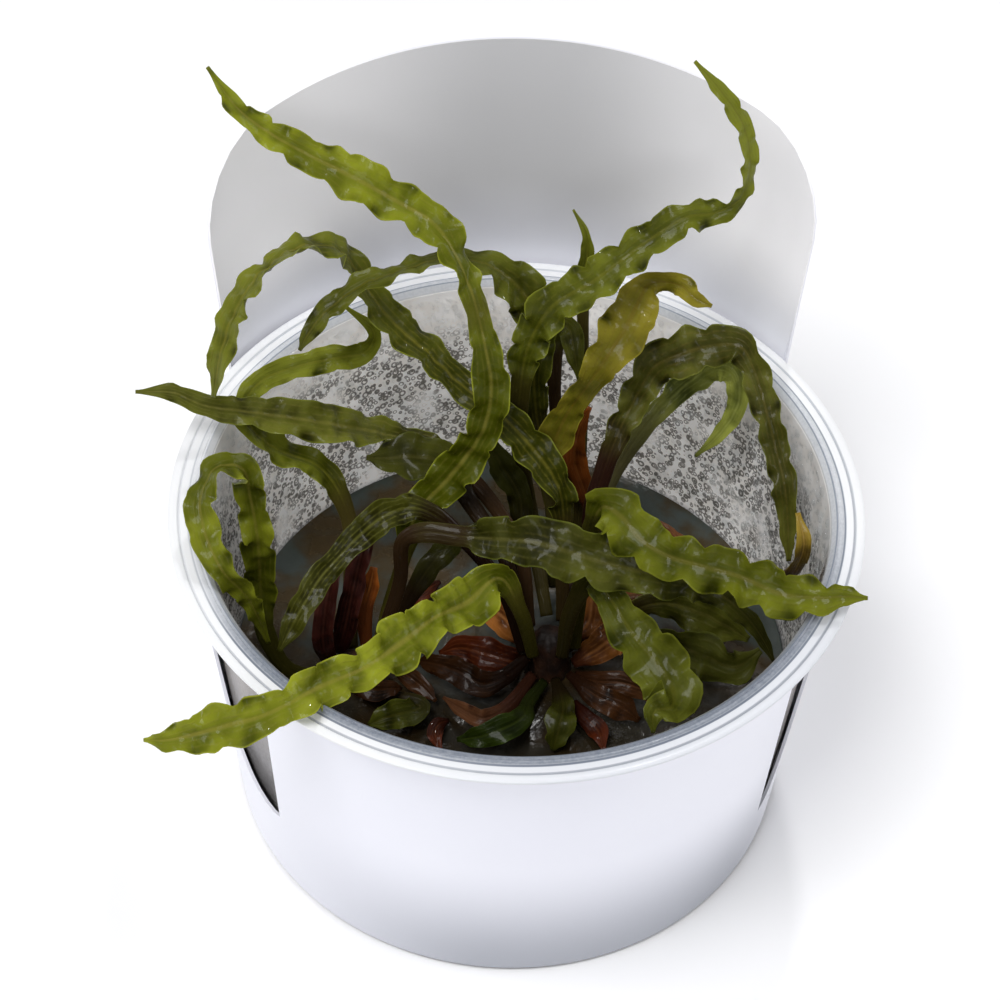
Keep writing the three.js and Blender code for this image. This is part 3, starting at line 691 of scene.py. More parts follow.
def makeCrown(name, crown, material):
    bm = bmesh.new()
    height = crown["top"] - crown["bottom"]
    wide, narrow = crown["radius"]
    pinch, footShare = crownForm["foot"]
    close, crestShare = crownForm["crest"]
    bmesh.ops.create_cone(
        bm, cap_ends=True, cap_tris=True, segments=crownForm["segments"], radius1=wide, radius2=wide,
        depth=height,
    )
    upright = [edge for edge in bm.edges if abs(edge.verts[0].co.z - edge.verts[1].co.z) > height / 2]
    bmesh.ops.subdivide_edges(bm, edges=upright, cuts=crownForm["rings"], use_grid_fill=True)
    for vert in bm.verts:
        share = vert.co.z / height + 0.5
        turn = math.atan2(vert.co.y, vert.co.x)
        body = wide + (narrow - wide) * share
        foot = 1 - pinch * (1 - smooth(share / footShare))
        crest = 1 - close * smooth((share - 1 + crestShare) / crestShare)
        fold = math.sin(crownForm["sheaths"] / 2 * (turn + crownForm["twist"] * share))
        radius = body * foot * crest * (1 - crownForm["ridge"] * (1 - abs(fold)))
        flat = Vector((vert.co.x, vert.co.y))
        if flat.length > 0.01:
            flat = flat.normalized() * radius
        vert.co = (crown["at"][0] + flat.x, crown["at"][1] + flat.y, crown["bottom"] + share * height)
    bmesh.ops.recalc_face_normals(bm, faces=bm.faces)
    finishPiece("stem_" + name, bm, material, [name])


crownMaterial = crownFinish()
for crownName, crownShape in crowns.items():
    makeCrown(crownName, crownShape, crownMaterial)
print("crowns made")


# Leaf tones: the colours of its parts, the second a darker copy of the blade laid on mostly as painted
# shade, then how veined it is and how pale its rib is
toneParts = ("blade", "second", "midrib", "margin", "stalk", "veins", "rib")
leafTones = {
    "bright": ((122, 128, 30), (89, 97, 9), (130, 122, 52), (148, 153, 44), (72, 68, 22), 0.2, 0.8),
    "fresh": ((102, 107, 30), (72, 78, 6), (112, 110, 34), (132, 138, 40), (64, 56, 24), 0.3, 0.7),
    "mid": ((86, 90, 26), (58, 62, 6), (104, 98, 34), (114, 120, 38), (52, 40, 20), 0.35, 0.6),
    "dark": ((66, 68, 20), (42, 43, 4), (88, 84, 38), (88, 94, 30), (40, 26, 14), 0.3, 0.6),
    "yellow": ((122, 113, 32), (98, 96, 18), (106, 86, 30), (152, 142, 42), (62, 56, 24), 0.25, 0.6),
    "grey": ((94, 98, 40), (72, 80, 32), (112, 116, 60), (116, 122, 58), (60, 56, 34), 0.25, 0.5),
    "olive": ((78, 80, 20), (58, 56, 8), (122, 122, 50), (124, 128, 52), (46, 26, 18), 0.75, 1),
    "bronze": ((84, 70, 22), (66, 48, 18), (110, 88, 40), (100, 92, 36), (52, 32, 18), 0.4, 0.7),
    "purpleStalk": ((70, 71, 24), (44, 44, 5), (84, 74, 32), (100, 106, 38), (36, 14, 14), 0.35, 0.4),
    "purple": ((62, 28, 22), (44, 18, 14), (84, 46, 34), (72, 42, 30), (46, 17, 14), 0.4, 0.6),
    "tan": ((128, 78, 32), (98, 54, 22), (150, 98, 52), (140, 92, 52), (70, 36, 20), 0.4, 0.9),
    "red": ((100, 42, 18), (70, 28, 14), (120, 64, 34), (108, 56, 34), (60, 26, 16), 0.5, 0.9),
    "pink": ((118, 76, 48), (88, 50, 32), (130, 88, 62), (126, 88, 66), (80, 46, 32), 0.3, 0.8),
    "brown": ((66, 38, 16), (42, 24, 10), (90, 56, 30), (80, 50, 28), (44, 24, 12), 0.5, 0.8),
    "orange": ((126, 66, 22), (90, 44, 16), (140, 84, 38), (112, 84, 30), (84, 44, 20), 0.4, 0.9),
    "grass": ((56, 72, 14), (38, 52, 10), (90, 104, 34), (90, 110, 36), (50, 58, 20), 0.3, 0.8),
}


def leafFinish(name, leaf):
    # shade darkens or lightens the leaf's tones, for its own colour and also as painted light and shade
    # where it sits, fade is the share of its length that is dark, partly painted shade deep in the tuft,
    # and tip is how pale its last quarter is
    tones = dict(zip(toneParts, leafTones[leaf["tone"]]))
    fade, seed = leaf["fade"], leaf["seed"]

    def tint(part, dim):
        red, green, blue, alpha = paint(*tones[part])
        return (red * leaf["shade"] * dim, green * leaf["shade"] * dim, blue * leaf["shade"] * dim, alpha)

    finish = Finish(name)
    across = finish.attribute("across").size()
    along = finish.attribute("along")
    reach = finish.attribute("reach")
    crest = finish.attribute("crest")
    patch = finish.noise(5, 3, seed % 13 * 0.01)
    broadShade = finish.noise(12, 2, seed % 7 * 0.02)
    fine = finish.noise(1.1, 4)
    lengthwise = (across * 19 + patch * 3).wave().power(4)
    crosswise = (along * 33 + across * 9 + fine * 6).wave().power(5)
    veins = (lengthwise * 0.8 + crosswise * 0.25) * fine.over(0.3, 0.6)
    midrib = across.under(0.03, 0.18)
    # random patches of the darker tone, with painted shade towards the crown and in the hollows of the
    # ruffles
    shaded = (patch * 1.6 - reach * 0.6 - crest * 0.35).over(0.2, 0.85)
    colour = finish.blend(shaded, tint("blade", 1.22), tint("second", 0.72))
    layers = [
        (broadShade.over(0.42, 0.66) * 0.65, "second", 0.36),  # wide dark patches, painted shade laid at random
        (across.under(0.1, 0.6) * 0.3, "second", 0.6),  # beside the midrib
        (crest.under(-0.9, 0.1) * 0.75, "second", 0.3),  # painted shade in the hollows of the ruffles
        ((reach + patch * 0.2).under(fade * 0.6, fade * 1.3) * 0.9, "second", 0.45),  # towards the crown: the leaf's darker base, and painted shade deep in the tuft
        (reach.over(0.72, 0.86) * leaf["tip"], "margin", 1.15),
        (veins * tones["veins"], "midrib", 1),
        (across.over(0.9, 1) * (patch + 0.2), "margin", 1),
        (midrib * patch * tones["rib"], "midrib", 1),
        ((1 - finish.attribute("blade")) * 0.95, "stalk", 1),
    ]
    for share, part, dim in layers:
        colour = finish.blend(share, colour, tint(part, dim))
    finish.bump(veins * 0.4 + fine * 0.4 - midrib * 0.5, 0.45, 0.3)
    return finish.set({
        "Base Color": colour,
        "Roughness": 0.2 + fine * 0.3,
        "IOR": 1.4,
        "Specular IOR Level": 0.1,
        "Coat Weight": 0.1,
        "Coat Roughness": 0.05,
    })


# Leaves: each row is [x, y, z, half width] from the crown to the tip, with a tilt in degrees where it turns
leafForm = {
    "facing": Vector((0, -0.66, 0.75)),
    "step": 0.6,
    "ring": 30,
    "spread": 2.5,
    "stalkHalfWidth": 1.3,
    "tipHalfWidth": 0.35,
    "widening": 0.9,
    "stalkDepth": 0.8,
    "stalkTop": 0.55,
    "bladeDepth": 0.13,
    "ribDepth": 0.34,
    "ribWidth": 0.5,
    "groove": 0.35,
    "fold": 0.16,
    "foldPower": 1.4,
    "rufflePower": 1.9,
    "crumple": 1.9,
    "crumpleHeight": 0.55,
    "bendRoom": 0.8,
}
leafHabits = {
    "leaf": {"fade": 0.3, "tip": 0, "ruffle": 0.26, "edge": 0.15, "wave": 6},
    "old": {"fade": 0.3, "tip": 0, "ruffle": 0.18, "edge": 0.1, "wave": 5},
}
leaves = {
    "leaf_upper_left": {
        "tone": "bright", "shade": 1.01, "fade": 0.75, "ruffle": 0.47, "edge": 0.25, "wave": 6.6,
        "rows": [
            [-21.5, -2.5, 25, 1], [-20, 2, 31, 1], [-17.5, 5, 40, 1.1], [-15.5, 7, 49, 2.7, 10],
            [-10.5, 9, 55.5, 3.2], [-5.5, 10, 65.5, 2.7, 20], [-4.5, 12, 72.5, 2.8],
            [-5.5, 14, 78.5, 2.2], [-7, 17, 83.5, 1.7], [-9.5, 20, 89.5, 2.3, 50], [-13.5, 23, 95, 2.9],
            [-19, 26, 96.5, 3], [-26, 28, 99.5, 3.3], [-33, 30, 102, 2.4], [-38.5, 31, 105, 2, 10],
            [-42.5, 31, 109, 1.4], [-46.5, 30, 117.5, 0.3],
        ],
    },
    "leaf_left_arch": {
        "tone": "mid", "shade": 1.31, "fade": 0.7, "ruffle": 0.32, "edge": 0.2, "wave": 6.2,
        "rows": [
            [8, 3, 29, 1], [7.5, 8, 41.5, 1.2], [6.5, 9, 53.5, 2.3, 30], [3, 11, 59, 2.9],
            [-3, 14.5, 64, 2.5], [-9, 18, 66.5, 2.4, 20], [-15, 21, 71, 2.8, 30],
            [-20.5, 24, 74.5, 2.8, 20], [-24.5, 26, 80, 2.1, 30], [-28, 25, 87.5, 2.7, 50],
            [-33.5, 21, 91.5, 2.4, 50], [-38.5, 15, 92, 2.4, 60], [-42.5, 12, 86.5, 2.4, 30],
            [-44.5, 9, 81, 2, 20], [-46, 8, 72.5, 0.4],
        ],
    },
    "leaf_back_left": {
        "tone": "mid", "shade": 0.9, "fade": 0.6, "ruffle": 0.39, "edge": 0.23, "wave": 6.8,
        "rows": [
            [7, 13, 28, 1], [5.5, 18, 41, 1.1], [3, 21, 54, 1.8, 20], [2, 22, 66, 2.3],
            [2.5, 25, 73.5, 2.8], [-0.5, 27, 78.5, 3.6], [-5.5, 27, 83.5, 2.4, 30],
            [-11.5, 26, 85.5, 1.7, 40], [-18, 23.5, 85.5, 1.9, 50], [-24.5, 20.5, 84.5, 2.1, 40],
            [-29.5, 18, 81.5, 1.8, 20], [-32, 16, 79, 1.3], [-33.5, 15, 76, 0.3],
        ],
    },
    "leaf_left_long": {
        "tone": "dark", "shade": 1.95, "fade": 0.6, "ruffle": 0.31, "edge": 0.17, "wave": 7.4,
        "rows": [
            [2.8, 1.6, 29, 1], [0.5, 7.5, 41.5, 1.1], [-7, 14, 49.5, 1.3], [-14, 18, 52.8, 2, 30],
            [-21, 18.5, 54.5, 2.6, 40], [-28.5, 15, 60, 3.2, 20], [-36, 13, 63.5, 2.8],
            [-42.5, 12, 65.5, 2.3, 20], [-48, 11, 67.5, 1.7], [-52.5, 11, 70, 1.4, 20],
            [-58, 10, 71, 0.3],
        ],
    },
    "leaf_left_short": {
        "tone": "dark", "shade": 0.75, "fade": 0.6, "ruffle": 0.29, "wave": 8,
        "rows": [
            [1.6, 0, 29, 1], [-1.2, 3.5, 42, 1.1], [-7.5, 11, 48, 1.4], [-12, 13.7, 53.5, 3.4, 30],
            [-17, 13.5, 55, 3.7, 10], [-20, 13, 55, 2.6], [-23.5, 12, 56, 0.4],
        ],
    },
    "leaf_left_curl": {
        "tone": "fresh", "shade": 1.3, "fade": 0.45, "ruffle": 0.39, "edge": 0.19, "wave": 7,
        "rows": [
            [-25.5, -1, 25, 1], [-26, 5, 32.5, 1.1], [-26.5, 12, 41.5, 1.3], [-31, 15, 50, 2.1, 20],
            [-37, 15, 53.5, 2.3, 30], [-41, 14, 59, 2.1, 40], [-42.5, 15, 63.5, 1.9, 30],
            [-40, 19, 65, 1.8], [-34.5, 22, 65.5, 1.9], [-29, 24, 65.5, 2.1], [-24.5, 26, 65, 1.7, 30],
            [-23, 26, 69.5, 1], [-27.5, 26, 75, 0.3],
        ],
    },
    "leaf_left_hook": {
        "tone": "bright", "shade": 0.79, "ruffle": 0.47, "edge": 0.27, "wave": 6.2,
        "rows": [
            [-28.5, -6, 23.5, 1], [-35, -8, 28, 1.2], [-38.5, -7, 36.5, 1.6, 30], [-39, -5, 43.5, 2.4],
            [-39, -5, 55.5, 2.3, 10], [-40, -3, 63, 2.1], [-41, -3, 69, 2.3, 30],
            [-44.5, -5, 71, 2.1, 50], [-46.5, -9, 68.5, 2.3, 20], [-45.5, -13.5, 66, 2.4],
            [-43, -17.5, 63, 1.9], [-39.5, -16, 54.5, 1.6], [-37, -15, 43, 0.4],
        ],
    },
    "leaf_front_left": {
        "tone": "bright", "shade": 1.1, "fade": 0.42, "ruffle": 0.44, "edge": 0.27, "wave": 6.8,
        "rows": [
            [3.5, -4.5, 29, 1], [1, -8, 44.5, 1.2], [-2.5, -9, 53, 2.2], [-7, -14, 53, 4],
            [-11.5, -19.5, 56, 2.6], [-16, -26, 58, 4], [-21, -32.5, 60, 2.6], [-27.5, -39, 63, 3.2],
            [-31, -43, 64.5, 2.4], [-35, -46, 65, 2.8], [-39, -47.5, 65, 3.4], [-43.5, -48.5, 64, 2.7],
            [-47.5, -49, 63, 1.6], [-51, -48, 61.5, 0.3],
        ],
    },
    "leaf_left_bent": {
        "tone": "olive", "shade": 0.53, "fade": 0.35, "wave": 6.5,
        "rows": [
            [2, -2.8, 28, 1], [-2, 0.5, 40, 1.1], [-8.5, 3, 48.5, 1.2], [-13.5, 3.8, 53, 1.6],
            [-17, 3.2, 54.5, 2.2], [-20.5, 2, 53.5, 2.5], [-24, 0.3, 51, 2.3], [-27, -2.5, 49, 1.8],
            [-29.5, -5.5, 47.8, 2.1], [-31.5, -9, 46.5, 2], [-33.5, -12, 44, 1.8], [-35.5, -15, 41, 0.4],
        ],
    },
    "leaf_left_inner": {
        "tone": "purple", "shade": 1.3, "wave": 6.5,
        "rows": [
            [-27.5, -2, 25.5, 1.4], [-26.2, -2.6, 33, 1.8], [-25, -0.8, 40, 1.7], [-23.8, 2, 45, 1.5],
            [-22.5, 5, 49, 1], [-21.5, 7, 51.5, 0.3],
        ],
    },
    "leaf_front_right": {
        "tone": "fresh", "shade": 0.62, "fade": 0.35, "ruffle": 0.44, "edge": 0.23, "wave": 6.4,
        "rows": [
            [8, -4.5, 29, 1], [9, -6, 42.5, 1.3], [12, -8, 52.5, 1.8], [14.5, -12, 52.5, 2.4],
            [18, -17, 50.5, 3.4], [21.5, -21, 49, 4.4], [24, -25, 47.5, 4.2], [23.5, -29, 48.5, 2.8],
            [21, -31, 50, 1.8], [21, -33, 47.5, 0.3],
        ],
    },
    "leaf_right_over_rim": {
        "tone": "bright", "shade": 0.59, "ruffle": 0.52, "edge": 0.34, "wave": 6.2,
        "rows": [
            [10, -2.5, 29, 1], [10.5, -3, 47.5, 1.2], [11.5, -3, 59.5, 1.4], [13, -5, 65.5, 2.6],
            [15.5, -8, 66.5, 3.9], [18.5, -11.5, 65.5, 3.5], [22.5, -13.5, 64.5, 3.2],
            [27, -15.5, 65, 3.4], [33, -17, 64.5, 3.3], [38.5, -19, 63.5, 3.5], [44, -20, 64, 2.5],
            [48, -20, 64.5, 1.4], [51, -21, 65.5, 0.3],
        ],
    },
    "leaf_front_centre": {
        "tone": "dark", "shade": 1.15, "ruffle": 0.34, "edge": 0.23, "wave": 7.2,
        "rows": [
            [-20.5, -6, 24.5, 1], [-20, -6.5, 35, 1.1], [-17.5, -4, 46, 1.1], [-17, -3, 54, 1.2],
            [-14, -3, 56, 1.6], [-8, -4, 56.5, 1.6], [-3, -6, 58.5, 3.1], [2, -8, 60.5, 3.5],
            [7, -9, 60, 4.2], [12, -10, 59, 3.9], [17, -11, 58.5, 3.4], [23, -11, 57, 3.2, 20],
            [29.5, -11, 54.5, 2.5, 20], [34.5, -12, 50.5, 1.6, 20], [38, -13, 45.5, 1],
            [40, -14, 41.5, 0.3],
        ],
    },
    "leaf_right_arch": {
        "tone": "purpleStalk", "shade": 1.32, "fade": 0.4, "ruffle": 0.36, "edge": 0.27,
        "rows": [
            [15, 10, 28, 1.2], [13.7, 10.5, 36, 1.3], [11.8, 11, 44.5, 1.4], [13.5, 14, 53, 1.5],
            [15.5, 17, 58.5, 1.9], [18, 20, 63.5, 2.6, 20], [20.5, 22, 68, 3.2, 20], [24.5, 23, 70, 3.6],
            [29, 24, 71, 3.2], [33.5, 23, 72, 2.5, 20], [36, 20, 69, 2.3, 20], [38, 15, 65, 2.1],
            [39.5, 12, 61, 2], [41, 8, 57.5, 1.9, 20], [42, 5, 51.5, 1.5, 20], [42.5, 2, 46.5, 0.4],
        ],
    },
    "leaf_right_hanging": {
        "tone": "grey", "shade": 2.24, "wave": 6.5,
        "rows": [
            [13.5, 14, 28, 1], [14.5, 19, 43, 1.2], [19.5, 24, 51.5, 1.6, 20], [26, 28, 58, 2.1, 20],
            [31, 28, 63, 2.6, 20], [33.5, 27, 62.5, 2.4], [34.5, 25, 58.5, 1.8, 20],
            [32.5, 24, 52.5, 1.3, 20], [28.5, 24, 46, 0.3],
        ],
    },
    "leaf_upper_right": {
        "tone": "fresh", "shade": 0.8, "fade": 0.5, "ruffle": 0.44, "edge": 0.3, "wave": 5.6, "tip": 0.7,
        "rows": [
            [5.5, 3, 30, 1], [2.5, 15, 39.5, 1.3], [0, 18, 55, 1.3], [0, 19, 66, 1.6], [1, 20, 74, 2.6],
            [4.5, 21, 81.5, 3], [10, 23, 84.5, 3.1], [14, 25, 87, 2.8], [18.5, 27, 90, 2.6],
            [24, 29, 93, 2.3], [28, 30, 93, 1.9, 10], [31.5, 31, 95, 1.2, 40], [32.5, 31, 101, 1.2, 30],
            [31, 31, 109, 1.3], [27.5, 31, 115, 1.1], [23, 31, 120.8, 0.3],
        ],
    },
    "leaf_thin_upright": {
        "tone": "fresh", "shade": 1.1, "wave": 5,
        "rows": [
            [10, 15, 28, 0.9], [10.2, 21, 38, 0.9], [10, 27, 55, 0.9], [9.5, 31, 66.5, 0.9],
            [9, 33, 75.5, 1.2], [9.5, 34, 80, 1.1], [9, 34, 84.5, 0.6], [7, 34, 89, 0.2],
        ],
    },
    "leaf_back_right": {
        "tone": "yellow", "shade": 0.9, "fade": 0.4, "ruffle": 0.36, "edge": 0.19, "wave": 7,
        "rows": [
            [6.5, 11, 28, 1], [6, 12, 43, 1.1], [4.5, 16, 52, 1.5], [6, 17, 57.5, 2.8],
            [7.5, 18, 61.5, 2.3], [10, 18, 67, 1.8], [13, 19, 73, 3.1], [15.5, 22, 76, 3.9],
            [17.5, 26, 78, 3.3], [19, 29, 79, 2.2, 20], [21.5, 29, 79.5, 1.6, 30],
            [24, 27, 80.5, 1.7, 20], [26, 25, 80, 1.3], [28.5, 24, 79.5, 0.3],
        ],
    },
    "leaf_small_curl": {
        "tone": "dark", "shade": 1.2,
        "rows": [
            [7.5, 14.5, 26, 0.9], [7, 20, 43.5, 1], [5.5, 24, 58, 1], [5, 27, 65, 1.4],
            [5.5, 28, 69.5, 1.9], [7, 27, 71, 1.7], [8, 25, 68.5, 1.7], [9, 23, 63.5, 0.3],
        ],
    },
    "leaf_wall_right": {
        "tone": "bronze", "shade": 2.4,
        "rows": [
            [14.3, 11, 24, 0.9], [33.5, 9, 31, 0.9], [41, 3.5, 40, 1, 20], [43.2, -2.5, 51, 1.2, 20],
            [43.5, -3, 57, 1.2], [42.5, 0.5, 59.5, 0.4],
        ],
    },
    "leaf_low_front_left": {
        "tone": "mid", "shade": 0.5, "wave": 5,
        "rows": [
            [-23, -8.4, 23.5, 0.9], [-14, -12.5, 25, 1.8], [-17, -14.5, 26, 2.4], [-20, -15, 25, 1.8],
            [-22, -15.5, 24, 0.4],
        ],
    },
    "leaf_low_front": {
        "tone": "mid", "shade": 0.38, "wave": 5,
        "rows": [
            [7.2, -5, 24, 0.8], [8.4, -12, 26, 1.8], [8, -16, 27, 2.4], [7.5, -17.5, 25, 1.8],
            [7, -18.5, 23, 0.4],
        ],
    },
    "leaf_low_right": {
        "tone": "dark", "shade": 1.1, "ruffle": 0.31, "edge": 0.19,
        "rows": [
            [10, -0.5, 24, 0.9], [22, 0.5, 28, 1.8, 20], [30, -3, 29, 3.6, 20], [35.5, -4.5, 28, 3, 20],
            [39.5, -2.5, 30, 0.6],
        ],
    },
    "leaf_low_right_back": {
        "tone": "dark", "shade": 1.64, "ruffle": 0.31, "edge": 0.19,
        "rows": [
            [9, 1.5, 24, 0.9], [22, 7, 29, 1.8, 20], [28.5, 4.5, 31, 3.6, 20], [33, 3, 30, 3.4, 20],
            [38, 2, 27, 0.6],
        ],
    },
    "leaf_low_front_small": {
        "tone": "grass", "shade": 0.42, "wave": 5,
        "rows": [
            [5.5, -5.6, 24, 0.8], [3, -11.2, 25.7, 1.1], [2.2, -15.3, 27.3, 1.7],
            [-0.8, -18.2, 27.9, 2.2], [-4.5, -19, 26.6, 1.8], [-8, -18.5, 25, 0.4],
        ],
    },
    "old_leaf_a": {
        "tone": "tan", "shade": 1.6, "ruffle": 0.16, "edge": 0.08, "wave": 7,
        "rows": [
            [2.5, 1, 24.5, 0.9], [-0.5, 3, 28, 2.8], [-3.5, 6, 28, 2.3], [-5, 9, 27, 0.4],
        ],
    },
    "old_leaf_b": {
        "tone": "red", "shade": 0.65, "ruffle": 0.21, "edge": 0.11, "wave": 6,
        "rows": [
            [1.5, -2, 24, 1], [0.5, -3.5, 26, 2.2], [-4, -2.5, 26.5, 2.8], [-8, -1, 26, 2.1],
            [-11.5, -0.5, 24, 0.4],
        ],
    },
    "old_leaf_c": {
        "tone": "pink", "shade": 0.55,
        "rows": [
            [3.6, -4.3, 24, 0.9], [-0.4, -11.8, 25, 1.2], [-4, -15, 26, 1.6], [-7.5, -12.5, 25, 1.2],
            [-10.5, -9.5, 24, 0.3],
        ],
    },
    "old_leaf_d": {
        "tone": "tan", "shade": 1,
        "rows": [
            [9.5, 0.5, 28, 0.9], [12, 1.5, 30, 2.3], [12.5, 4, 33, 2.7], [12.5, 6.5, 34, 1.9],
            [12.5, 9, 34, 0.4],
        ],
    },
    "old_leaf_e": {
        "tone": "tan", "shade": 1.1, "ruffle": 0.21, "edge": 0.11,
        "rows": [
            [10, -2.5, 25, 0.9], [13.5, -2, 28, 2.4], [16.5, -1, 30, 2.9], [19, -1, 29.5, 2.2],
            [21, -2.5, 27.5, 0.4],
        ],
    },
    "old_leaf_f": {
        "tone": "brown", "shade": 0.6,
        "rows": [
            [9.2, -4.9, 25.2, 0.7], [14, -10.3, 26.4, 2], [17.5, -12, 26.3, 2.2], [20.5, -13, 24.3, 0.5],
        ],
    },
    "old_leaf_g": {
        "tone": "orange", "shade": 1.9, "ruffle": 0.13, "edge": 0.08, "wave": 6,
        "rows": [
            [-23, -1, 23.5, 0.9], [-23.5, 0.5, 33, 1.4], [-22.5, 1.5, 38, 1.5], [-22, 2.5, 41, 0.6],
        ],
    },
    "old_leaf_h": {
        "tone": "orange", "shade": 0.95, "ruffle": 0.21, "edge": 0.11, "wave": 6,
        "rows": [
            [12, 15.6, 24.5, 0.9], [12.2, 18.2, 37.5, 1], [10.5, 19, 43.5, 1.8], [9, 20, 48.5, 2],
            [9.5, 22, 53.5, 1.2], [11, 23, 57.5, 0.4],
        ],
    },
    "old_leaf_i": {
        "tone": "brown", "shade": 0.4,
        "rows": [
            [2.6, -3.1, 27, 0.9], [-1, -7, 26.5, 1.4], [-4.5, -8.5, 26.5, 2.2], [-8.5, -6.3, 26.8, 2.2],
            [-12.5, -4.3, 26, 1.6], [-15, -2.5, 24.3, 0.4],
        ],
    },
    "old_leaf_j": {
        "tone": "red", "shade": 0.4, "ruffle": 0.13,
        "rows": [
            [10.2, -9.2, 23.5, 0.7], [11.8, -12.2, 23.9, 1.4], [14, -15, 24, 1.7], [15, -18.5, 23.6, 0.4],
        ],
    },
    "old_leaf_k": {
        "tone": "pink", "shade": 0.6, "ruffle": 0.13,
        "rows": [
            [-2.5, -21.5, 24, 0.8], [1.5, -23, 24.3, 1.3], [6, -23, 24.3, 1.4], [10.5, -21.5, 23.8, 0.4],
        ],
    },
    "leaf_left_young": {
        "tone": "purple", "shade": 1.7, "ruffle": 0.1, "edge": 0.05,
        "rows": [
            [-29, -4, 26, 1.4], [-29.6, -6, 33, 1.7], [-29, -3.6, 40, 1.6], [-27.8, 0.2, 44.5, 1.1],
            [-26.8, 2.6, 47, 0.3],
        ],
    },
    "old_leaf_l": {
        "tone": "brown", "shade": 1.1,
        "rows": [
            [10.4, -3.4, 23.3, 0.7], [13.8, -6, 25, 1.7], [18, -7.2, 26.2, 1.9], [22, -8.2, 25.4, 1.5],
            [25, -9.2, 24, 0.4],
        ],
    },
    "old_leaf_m": {
        "tone": "pink", "shade": 1.3,
        "rows": [
            [15.5, 18, 23.4, 0.5], [17.5, 16.3, 24.4, 2], [20.5, 14.8, 24.8, 2.5],
            [23.5, 13.2, 24.2, 1.7], [25.5, 12.2, 23.4, 0.4],
        ],
    },
    "old_leaf_n": {
        "tone": "pink", "shade": 0.9, "ruffle": 0.15,
        "rows": [
            [18.5, 31.5, 23.3, 0.4], [21, 29, 24.2, 1.4], [24.5, 26.5, 24.4, 1.7], [28, 24.5, 24, 1.3],
            [31, 22.5, 23.3, 0.3],
        ],
    },
    "old_leaf_o": {
        "tone": "brown", "shade": 0.4,
        "rows": [
            [-24.9, -8.3, 26, 0.9], [-23.5, -10.6, 27.3, 1.6], [-21, -11.4, 27.8, 1.9],
            [-18.5, -10.7, 27.4, 1.2], [-17, -9.9, 26.5, 0.3],
        ],
    },
    "old_leaf_p": {
        "tone": "red", "shade": 0.9, "ruffle": 0.15,
        "rows": [
            [-12, 15, 23.3, 0.4], [-14, 12.5, 24.2, 1.4], [-16, 10, 24.2, 1.4], [-17.5, 7.5, 23.3, 0.3],
        ],
    },
    "old_leaf_r": {
        "tone": "red", "shade": 0.55, "ruffle": 0.15,
        "rows": [
            [-9.5, -13.6, 23.4, 0.4], [-11, -15.2, 24.4, 1.2], [-11.5, -17.2, 24.6, 1.3],
            [-10.4, -19.7, 23.5, 0.3],
        ],
    },
    "old_leaf_s": {
        "tone": "pink", "shade": 0.9, "ruffle": 0.15,
        "rows": [
            [12.5, 31.5, 23.3, 0.4], [13.8, 33.2, 24.2, 1.3], [15.4, 35.2, 24.2, 1.3],
            [17, 37, 23.5, 0.3],
        ],
    },
    "leaf_inner_back": {
        "tone": "dark", "shade": 0.42, "ruffle": 0.3, "edge": 0.2, "wave": 6.4,
        "rows": [
            [0.5, 8.5, 23.4, 0.9], [0.4, 9.5, 36, 1.1], [0.6, 13.4, 46, 1.9], [-2.4, 14.8, 52, 2.2],
            [-4.4, 15.4, 56, 1.3], [-6, 16, 59, 0.3],
        ],
    },
    "leaf_inner_left": {
        "tone": "dark", "shade": 0.6, "ruffle": 0.3, "edge": 0.2, "wave": 6.8,
        "rows": [
            [-22, -3.4, 26.4, 1], [-17, 0, 35, 1.2], [-13.5, 2.5, 41, 1.8], [-10, 5, 44.5, 2],
            [-6, 7, 47, 0.4],
        ],
    },
    "old_leaf_t": {
        "tone": "brown", "shade": 0.6,
        "rows": [
            [-17.6, -3.6, 23.8, 0.4], [-17, -5.4, 24.8, 1.4], [-15.4, -7, 25, 1.6],
            [-13.4, -8.6, 24.6, 1.3], [-11.6, -10.2, 23.8, 0.3],
        ],
    },
    "old_leaf_u": {
        "tone": "brown", "shade": 0.6,
        "rows": [
            [-20.6, 0.6, 23.8, 0.4], [-18, -0.2, 24.6, 1.5], [-15.4, 0.4, 24.8, 1.6],
            [-12.8, 1.8, 23.8, 0.3],
        ],
    },
}


def curvePoint(points, place):
    # centripetal Catmull-Rom through the points, as the construction model has it
    count = len(points)
    index = min(count - 2, int(place))
    share = place - index
    middle = points[index:index + 2]
    before = points[index - 1] if index else points[0] * 2 - points[1]
    after = points[index + 2] if index + 2 < count else points[-1] * 2 - points[-2]
    gaps = [(b - a).length ** 0.5 for a, b in zip((before, *middle), (*middle, after))]
    start = (middle[0] - before) / gaps[0] - (middle[1] - before) / (gaps[0] + gaps[1])
    start = (start + (middle[1] - middle[0]) / gaps[1]) * gaps[1]
    end = (middle[1] - middle[0]) / gaps[1] - (after - middle[0]) / (gaps[1] + gaps[2])
    end = (end + (after - middle[1]) / gaps[2]) * gaps[1]
    step = middle[1] - middle[0]
    bend = 3 * step - 2 * start - end + share * (start + end - 2 * step)
    return middle[0] + share * (start + share * bend)


